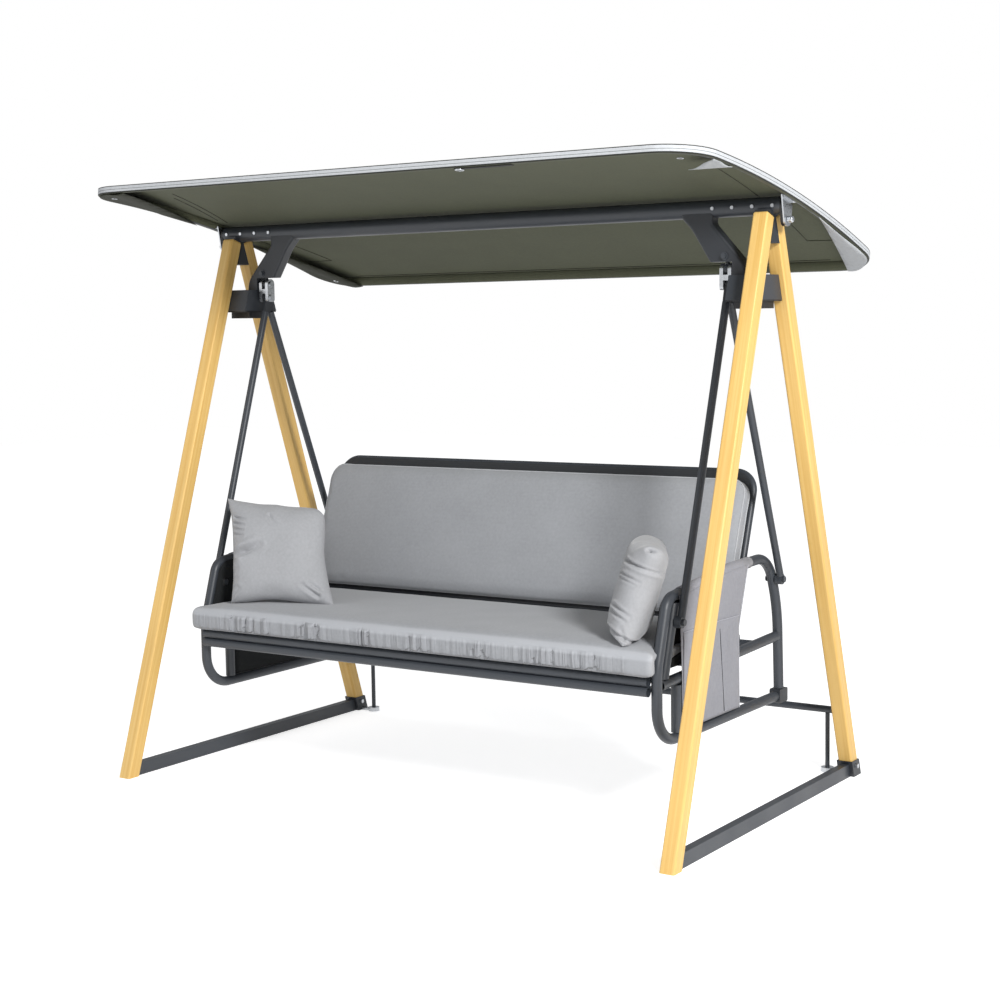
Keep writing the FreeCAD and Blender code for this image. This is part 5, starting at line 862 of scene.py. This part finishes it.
class SWING_OT_pillows(bpy.types.Operator):
    """Sew and fill the two loose pillows"""

    bl_idname = "swing.pillows"
    bl_label = "Pillows"

    def execute(self, context):
        # Folds of the face that looks forward: start, end, width and depth, the places being across and
        # up from the middle.
        front_folds = [((-0.150, -0.028), (-0.045, 0.012), 0.009, 0.024),
                       ((-0.094, -0.018), (-0.027, -0.001), 0.012, 0.008),
                       ((-0.022, 0.105), (0.002, 0.074), 0.005, 0.006),
                       ((0.152, -0.146), (0.104, -0.114), 0.006, 0.012),
                       ((0.156, -0.126), (0.125, -0.108), 0.005, 0.009),
                       ((-0.140, -0.150), (-0.106, -0.128), 0.006, 0.012)]
        front_folds += [((-0.144, up), (-0.104, up - 0.008), 0.004, 0.011)
                        for up in (0.1, 0.082, 0.064, 0.047)]
        front_folds += [((-0.142, up), (-0.116, up + 0.006), 0.006, 0.010)
                        for up in (-0.045, -0.072, -0.1, -0.126)]
        # Folds of the end that looks to the camera: back and up from the middle.
        end_folds = [((-0.056, 0.067), (0.056, 0.060), 0.004, 0.009),
                     ((-0.056, 0.033), (-0.005, 0.027), 0.0035, 0.006),
                     ((-0.056, 0.022), (-0.015, 0.017), 0.003, 0.005),
                     ((-0.052, -0.056), (-0.004, -0.068), 0.004, 0.007),
                     ((-0.055, -0.072), (-0.014, -0.083), 0.004, 0.007),
                     ((-0.061, -0.117), (0.05, -0.138), 0.004, 0.010),
                     ((0.0, -0.128), (-0.02, -0.105), 0.005, 0.005)]

        def left_folds(spot, normal):
            slack = 0.012 * bell(spot.x, 0, 0.08) * bell(spot.z, -0.15, 0.04)
            soft = 0.003 * noise.noise(spot * 14) - slack
            if normal.y > 0.2:
                return soft
            flat = spot.xz
            return soft + min(1, 1.3 * normal.y ** 4) * sum(crease(flat, *fold) for fold in front_folds)

        def right_folds(spot, normal):
            soft = 0.003 * noise.noise(spot * 15 + UP)
            shown = clamped((spot.x - 0.01) / 0.05)
            dent = -0.012 * bell(spot.y, -0.035, 0.03) * bell(spot.z, 0.105, 0.035)
            above = -0.005 * math.exp(-(spot.z - 0.064) / 0.03) if spot.z > 0.064 else 0.0
            flat = spot.yz
            return soft + shown * (dent + above + sum(crease(flat, *fold) for fold in end_folds))

        pillow_cover("left_pillow", "pillow_left", half=0.168, upper_fullness=3.2, shear=0.022,
                     rounding=(0, 0.024), place=set_down((-0.6, -0.255, 0.6961), 21, -19),
                     folds=left_folds, pressed=0.5372)
        pillow_cover("right_pillow", "pillow_right", half=0.146, upper_fullness=7, shear=0.0,
                     rounding=(0.034, 0.034), place=set_down((0.692, -0.255, 0.6741), -61, -17),
                     folds=right_folds, pressed=0.5345)
        return {"FINISHED"}


# The side fabrics and the slings.
def armrest_height(back):
    """Height of the armrest's middle line at a place."""
    return 0.692 + (0.0995 if back < 0.06 else 0.0238) * (back - 0.06)


def sleeve_round(mesh, places, radius):
    """Add a sleeve round a tube that follows places in the side view."""
    ring = None
    for number, place in enumerate(places):
        ahead = places[min(number + 1, len(places) - 1)] - places[max(number - 1, 0)]
        facing = Matrix.Translation(place) @ Matrix.Rotation(math.atan2(ahead.y, -ahead.z), 4, "X")
        if ring is None:
            made = bmesh.ops.create_circle(mesh, segments=28, radius=radius, matrix=facing)["verts"]
            ring = list({edge for vertex in made for edge in vertex.link_edges})
        else:
            new = bmesh.ops.extrude_edge_only(mesh, edges=ring)["geom"]
            made = [item for item in new if isinstance(item, bmesh.types.BMVert)]
            bmesh.ops.transform(mesh, matrix=facing @ last.inverted(), verts=made)
            ring = [item for item in new if isinstance(item, bmesh.types.BMEdge) and item.is_boundary
                    and all(end in made for end in item.verts)]
        last = facing


def flat_cloth(name, outline, level, thickness, step, ripple, material, replaced, sleeve=None,
               hole=None, corner=None):
    """A sheet in the side view, cut to an outline, rippled and given its thickness."""
    mesh = bmesh.new()
    corners = [mesh.verts.new((level, back, height)) for back, height in outline]
    mesh.faces.new(corners)
    if corner:
        bmesh.ops.bevel(mesh, geom=[corners[corner[0]]], offset=corner[1], offset_type="OFFSET", segments=6,
                        profile=0.5, affect="VERTICES", material=-1)
    heights = [height for _, height in outline]
    backs = [back for back, _ in outline]
    cut_across(mesh, BACK, spaced(min(backs), max(backs), step))
    cut_across(mesh, UP, spaced(min(heights), max(heights), step))
    for vertex in mesh.verts:
        vertex.co.x += math.copysign(1, level) * ripple(vertex.co)
    bmesh.ops.triangulate(mesh, faces=[face for face in mesh.faces if len(face.verts) > 4])
    bmesh.ops.recalc_face_normals(mesh, faces=mesh.faces)
    if mesh.faces[0].normal.x * level < 0:
        bmesh.ops.reverse_faces(mesh, faces=mesh.faces)
    if sleeve:
        flat = set(mesh.faces)
        sleeve_round(mesh, *sleeve)
        rolled = [face for face in mesh.faces if face not in flat]
        middle = sleeve[0][0]
        if (rolled[0].calc_center_median() - middle).dot(rolled[0].normal) < 0:
            bmesh.ops.reverse_faces(mesh, faces=rolled)
    item = placed(name, mesh)
    wall = item.modifiers.new("Cloth", "SOLIDIFY")
    wall.thickness = thickness
    wall.offset = -1
    if hole:
        punch = bmesh.new()
        back, height, radius = hole
        through = Matrix.Translation((level, back, height)) @ Matrix.Rotation(math.pi / 2, 4, "Y")
        bmesh.ops.create_cone(punch, cap_ends=True, segments=24, radius1=radius, radius2=radius,
                              depth=0.04, matrix=through)
        tool = placed("punch", punch)
        cut = item.modifiers.new("Bolt hole", "BOOLEAN")
        cut.operation = "DIFFERENCE"
        cut.object = tool
    baked(item)
    if hole:
        bpy.data.objects.remove(tool)
    return dressed(item, [material], "bench", replaced)


class SWING_OT_side_fabrics(bpy.types.Operator):
    """Hang the side panels with their armrest sleeves, their pockets and the black linings"""

    bl_idname = "swing.side_fabrics"
    bl_label = "Side fabrics"

    def execute(self, context):
        colours = context.scene.swing_colours
        grey = woven_cloth("woven_polyester_panel", colours.panel)
        pale = woven_cloth("woven_polyester_hem", scaled(colours.panel, 1.4))
        black = woven_cloth("woven_polyester_lining", colours.lining)
        rear_edge = [(0.087, 0.288), (0.084, 0.52), (0.146, armrest_height(0.146))]
        panel = [(-0.256, 0.288), *rear_edge, (0.06, 0.692), (-0.27, armrest_height(-0.27)),
                 (-0.258, 0.432)]
        pocket = [(-0.253, 0.291), (0.081, 0.291), (0.081, 0.556), (-0.253, 0.556)]
        upper = [(-0.371, 0.4573), (0.104, 0.4573), (0.104, 0.693), (0.06, 0.692), (-0.312, 0.655),
                 (-0.371, 0.47)]
        lower = [(-0.2464, 0.2836), (0.104, 0.2836), (0.104, 0.4261), (-0.2464, 0.4149)]

        def pocket_folds(spot):
            # Loose folds under the hem, and the cloth stands off the panel between its seams.
            loose = bell(spot.z, 0.52, 0.05) * noise.noise(Vector((spot.y * 60, 2.5, spot.z * 10)))
            inner = min(1, (0.556 - spot.z) / 0.02, (spot.z - 0.291) / 0.05, (0.081 - spot.y) / 0.02)
            return max(0.0, inner) * (0.0012 + 0.0022 * loose)

        # How far out from the swing's middle the armrest's tube and the cloths lie.
        tube, hem_out, panel_out, pocket_out, pleat_out = 0.81, 0.8268, 0.8273, 0.8287, 0.8298
        upper_out, lower_out = 0.7927, 0.8108
        sides = ((1, "right"), (-1, "left"))
        for side, name in sides:
            along = [Vector((side * tube, back, armrest_height(back)))
                     for back in (-0.243, -0.15, -0.05, 0.03, 0.06, 0.09, 0.18)]
            item = flat_cloth("panel_cloth_" + name, panel, side * panel_out, 0.0013, 0.02,
                              lambda spot: -0.0004 * (1 + noise.noise(spot * 14)), grey,
                              ["side_panel_" + name], sleeve=(along, 0.0167))
        for side, name in sides:
            item = flat_cloth("pocket_cloth_" + name, pocket, side * pocket_out, 0.0012, 0.0065,
                              pocket_folds, grey, ["side_pockets"])
            rear_hem = [Vector((side * hem_out, back, height)) for back, height in rear_edge]
            top_hem = [Vector((side * pocket_out, back, height))
                       for back, height in ((-0.252, 0.556), (-0.04, 0.5575), (0.08, 0.555))]
            hem = cord_through("panel_hem_" + name, [stepped(rear_hem, 0.02), stepped(top_hem, 0.02)],
                               0.0015, pale, "bench")
            # A black cord along each pocket's pleat is painted shade in its fold.
            pleat = [Vector((side * pleat_out, back, height))
                     for back, height in ((-0.04, 0.535), (-0.0365, 0.51), (-0.0145, 0.2965))]
            fold = cord_through("pocket_pleat_painted_shade_" + name, [stepped(pleat, 0.01)], 0.0011, black, "bench")
        for side, name in sides:
            item = flat_cloth("lining_upper_" + name, upper, side * upper_out, 0.0016, 0.03,
                              lambda spot: 0.0, black, ["side_linings"],
                              hole=(-0.2882, 0.591, 0.0105), corner=(4, 0.0296))
            item = flat_cloth("lining_lower_" + name, lower, side * lower_out, 0.0016, 0.03,
                              lambda spot: -0.0001 * noise.noise(spot * 10), black,
                              ["side_linings"])
        return {"FINISHED"}


class SWING_OT_slings(bpy.types.Operator):
    """Stretch the mesh slings under the seat cushion and behind the backrest cushion"""

    bl_idname = "swing.slings"
    bl_label = "Slings"

    def execute(self, context):
        material = mesh_sling("coated_mesh_sling", context.scene.swing_colours.sling)
        low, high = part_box("seat_sling")
        mesh = slab_mesh((low.x, low.y, low.z + 0.0008), (high.x, high.y, high.z - 0.0002))
        cut_across(mesh, ACROSS, spaced(low.x, high.x, 0.05))
        cut_across(mesh, BACK, spaced(low.y, high.y, 0.04))
        item = shell("seat_sling_mesh", mesh, [material], "bench", ["seat_sling"], False)
        half, foot, top = 0.774, 0.052, 0.5
        mesh = slab_mesh((-half, -0.0135, foot), (half, -0.0117, top))
        round_off(mesh, depth_edges(mesh, lambda height: height > 0.4), 0.062, 8)
        cut_across(mesh, ACROSS, spaced(-half, half, 0.05))
        cut_across(mesh, UP, spaced(foot, top, 0.04))
        bmesh.ops.transform(mesh, matrix=LEAN, verts=mesh.verts)
        item = shell("backrest_sling_mesh", mesh, [material], "backrest",
                     ["backrest_sling"], False)
        return {"FINISHED"}


class SWING_OT_strap(bpy.types.Operator):
    """Sew the tie strap under the canopy's front edge"""

    bl_idname = "swing.tie_strap"
    bl_label = "Tie strap"

    def execute(self, context):
        low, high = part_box("tie_strap")
        material = woven_cloth("polyester_webbing", context.scene.swing_colours.thread)
        slope = math.asin((low.y + high.y - 2 * ARCH_BACK) / 2 / ARCH_RADIUS)
        half_width, half_thickness = 0.0078, 0.0008
        mesh = slab_mesh((low.x, -half_width, -half_thickness), (high.x, half_width, half_thickness))
        cut_across(mesh, ACROSS, spaced(low.x, high.x, 0.01))
        for vertex in mesh.verts:
            share = (vertex.co.x - low.x) / (high.x - low.x)
            vertex.co.z -= 0.0004 * math.sin(share * math.pi)
        middle = (low + high) / 2
        sloped = Matrix.Translation((0, middle.y, middle.z)) @ Matrix.Rotation(-slope, 4, "X")
        bmesh.ops.transform(mesh, verts=mesh.verts, matrix=sloped)
        item = shell("tie_strap_webbing", mesh, [material], "canopy", ["tie_strap"], False)
        return {"FINISHED"}


# The wood, the metal and the studio.
def dress_nodes(names, material):
    """Give CAD nodes their finish."""
    for name in names:
        data = frame["nodes"][name].data
        data.materials.clear()
        data.materials.append(material)


class SWING_OT_finishes(bpy.types.Operator):
    """Give the carried-over wood, steel, castings and plastic their finishes"""

    bl_idname = "swing.finishes"
    bl_label = "Wood and metal finishes"

    def execute(self, context):
        colours = context.scene.swing_colours
        slots = {entry["slot"] for entry in frame["record"]["materials"]}
        foot_out, top_out, rise = 0.578, 0.025, 1.68
        lean = math.atan2(foot_out - top_out, rise)
        dress_nodes(["front_legs"], oiled_pine("oiled_pine_front", lean))
        dress_nodes(["rear_legs"], oiled_pine("oiled_pine_rear", -lean))
        made = {
            "anthracite_steel": coated_metal("powder_coated_steel", colours.anthracite, 0.42, 420.0,
                                             0.0003),
            "anthracite_casting": coated_metal("powder_coated_cast_aluminium", colours.casting, 0.48, 300.0,
                                               0.0005),
            "bright_steel": zinc_plated_steel("zinc_plated_steel"),
            "black_plastic": moulded_plastic("moulded_polypropylene"),
        }
        for slot in made:
            if slot not in slots:
                raise RuntimeError(f"the record has no slot {slot}")
        groups = {
            "bright_steel": ("shackles", "shackle_pins", "beam_screws", "canopy_grommets", "shoe_bolts",
                             "tie_ring", "canopy_pivot_bolts", "tilt_brackets", "strut_foot_pads",
                             "tilt_knob_left", "tilt_knob_right"),
            "anthracite_casting": ("apex_saddles", "hang_eyes", "rear_connectors", "rear_shoes",
                                   "corner_braces", "hanger_apex_plates"),
            "black_plastic": ("beam_end_caps", "cross_box_bases"),
        }
        taken = {"front_legs", "rear_legs", *(name for names in groups.values() for name in names)}
        for slot, names in groups.items():
            dress_nodes(names, made[slot])
        dress_nodes([name for name in frame["nodes"] if name not in taken], made["anthracite_steel"])
        return {"FINISHED"}


class SWING_OT_studio(bpy.types.Operator):
    """Set the pale floor, the soft lights and the camera"""

    bl_idname = "swing.studio"
    bl_label = "Studio"

    def execute(self, context):
        scene = context.scene
        scene.view_settings.view_transform = "Standard"
        self.add_floor()
        self.add_world(scene)
        self.add_lights()
        self.add_camera(scene)
        return {"FINISHED"}

    def add_floor(self):
        """Pale floor that keeps the object's shadow."""
        mesh = bmesh.new()
        bmesh.ops.create_grid(mesh, x_segments=2, y_segments=2, size=14)
        floor = placed("studio_floor", mesh)
        material = bpy.data.materials.new("painted_studio_floor")
        material.use_nodes = True
        tree = material.node_tree
        tree.nodes.clear()
        paint = add_node(tree, "ShaderNodeBsdfDiffuse", {"Color": (0.86, 0.86, 0.86, 1)})
        glow = add_node(tree, "ShaderNodeEmission", {"Strength": 0.68})
        path = add_node(tree, "ShaderNodeLightPath")
        seen = add_node(tree, "ShaderNodeMath",
                        {0: path.outputs["Is Camera Ray"], 1: path.outputs["Is Glossy Ray"]},
                        operation="MAXIMUM")
        black = add_node(tree, "ShaderNodeEmission", {"Strength": 0.0})
        lit = add_node(tree, "ShaderNodeMixShader",
                       {0: seen.outputs[0], 1: black.outputs[0], 2: glow.outputs[0]})
        both = add_node(tree, "ShaderNodeAddShader", {0: paint.outputs[0], 1: lit.outputs[0]})
        add_node(tree, "ShaderNodeOutputMaterial", {"Surface": both.outputs[0]})
        floor.data.materials.append(material)

    def add_world(self, scene):
        """White for the camera and through clear things, soft pale light for everything else."""
        world = bpy.data.worlds.new("studio")
        scene.world = world
        world.use_nodes = True
        tree = world.node_tree
        tree.nodes.clear()
        path = add_node(tree, "ShaderNodeLightPath")
        seen = add_node(tree, "ShaderNodeMath",
                        {0: path.outputs["Is Camera Ray"], 1: path.outputs["Is Transmission Ray"]},
                        operation="MAXIMUM")
        soft = add_node(tree, "ShaderNodeBackground", {"Color": (0.97, 0.98, 1, 1), "Strength": 0.46})
        white = add_node(tree, "ShaderNodeBackground", {"Color": (1, 1, 1, 1), "Strength": 1.0})
        mixed = add_node(tree, "ShaderNodeMixShader",
                         {0: seen.outputs[0], 1: soft.outputs[0], 2: white.outputs[0]})
        add_node(tree, "ShaderNodeOutputWorld", {"Surface": mixed.outputs[0]})

    def add_lights(self):
        """A key, a disc 1.4 m across, over the camera's right shoulder, and a weak wide fill."""
        for name, place, size, power in (("key", (5.2, -3.2, 3.7), 1.4, 360),
                                         ("fill", (-3.5, -4.5, 2.2), 4.0, 40)):
            light = bpy.data.lights.new(name, "AREA")
            light.shape = "DISK"
            light.size = size
            light.energy = power
            item = linked(name, light)
            item.location = place
            aim = Vector((0, 0, 0.8)) - item.location
            item.rotation_euler = aim.to_track_quat("-Z", "Y").to_euler()

    def add_camera(self, scene):
        """Camera at the photograph's place and angle."""
        place = Vector((3.1002, -4.5243, 1.3985))
        yaw, pitch, roll = 0.5904, 0.0981, -0.0158
        ahead = Vector((-math.sin(yaw) * math.cos(pitch), math.cos(yaw) * math.cos(pitch),
                        -math.sin(pitch)))
        right = Vector((math.cos(yaw), math.sin(yaw), 0))
        over = right.cross(ahead)
        across = right * math.cos(roll) + over * math.sin(roll)
        above = over * math.cos(roll) - right * math.sin(roll)
        lens = bpy.data.cameras.new("camera")
        lens.sensor_fit = "HORIZONTAL"
        lens.sensor_width = 36
        lens.lens = 64.863
        lens.clip_end = 100
        camera = linked("camera", lens)
        turn = Matrix((across, above, -ahead)).transposed().to_4x4()
        camera.matrix_world = Matrix.Translation(place) @ turn
        scene.camera = camera


PIECES = (
    SWING_OT_finishes, SWING_OT_canopy_cloth, SWING_OT_canopy_trim, SWING_OT_strap, SWING_OT_seat_cushion,
    SWING_OT_back_cushion, SWING_OT_pillows, SWING_OT_side_fabrics, SWING_OT_slings, SWING_OT_studio,
)


class SWING_PT_panel(bpy.types.Panel):
    """Sidebar panel that lists the swing's pieces"""

    bl_idname = "SWING_PT_panel"
    bl_label = "Garden swing"
    bl_space_type = "VIEW_3D"
    bl_region_type = "UI"
    bl_category = "Garden swing"

    def draw(self, context):
        column = self.layout.column()
        for piece in PIECES:
            column.operator(piece.bl_idname)
        for group in (context.scene.swing_sizes, context.scene.swing_colours):
            for name in group.bl_rna.properties.keys():
                if name not in ("rna_type", "name"):
                    column.prop(group, name)


CLASSES = (SwingColours, SwingSizes, *PIECES, SWING_PT_panel)


def register():
    """Add the classes and the scene's properties."""
    for item in CLASSES:
        bpy.utils.register_class(item)
    bpy.types.Scene.swing_colours = bpy.props.PointerProperty(type=SwingColours)
    bpy.types.Scene.swing_sizes = bpy.props.PointerProperty(type=SwingSizes)


def unregister():
    """Take them away again."""
    del bpy.types.Scene.swing_sizes
    del bpy.types.Scene.swing_colours
    for item in reversed(CLASSES):
        bpy.utils.unregister_class(item)


def main():
    """Build the swing in its studio."""
    register()
    for piece in PIECES:
        group, name = piece.bl_idname.split(".")
        getattr(getattr(bpy.ops, group), name)()


if __name__ == "__main__":
    main()
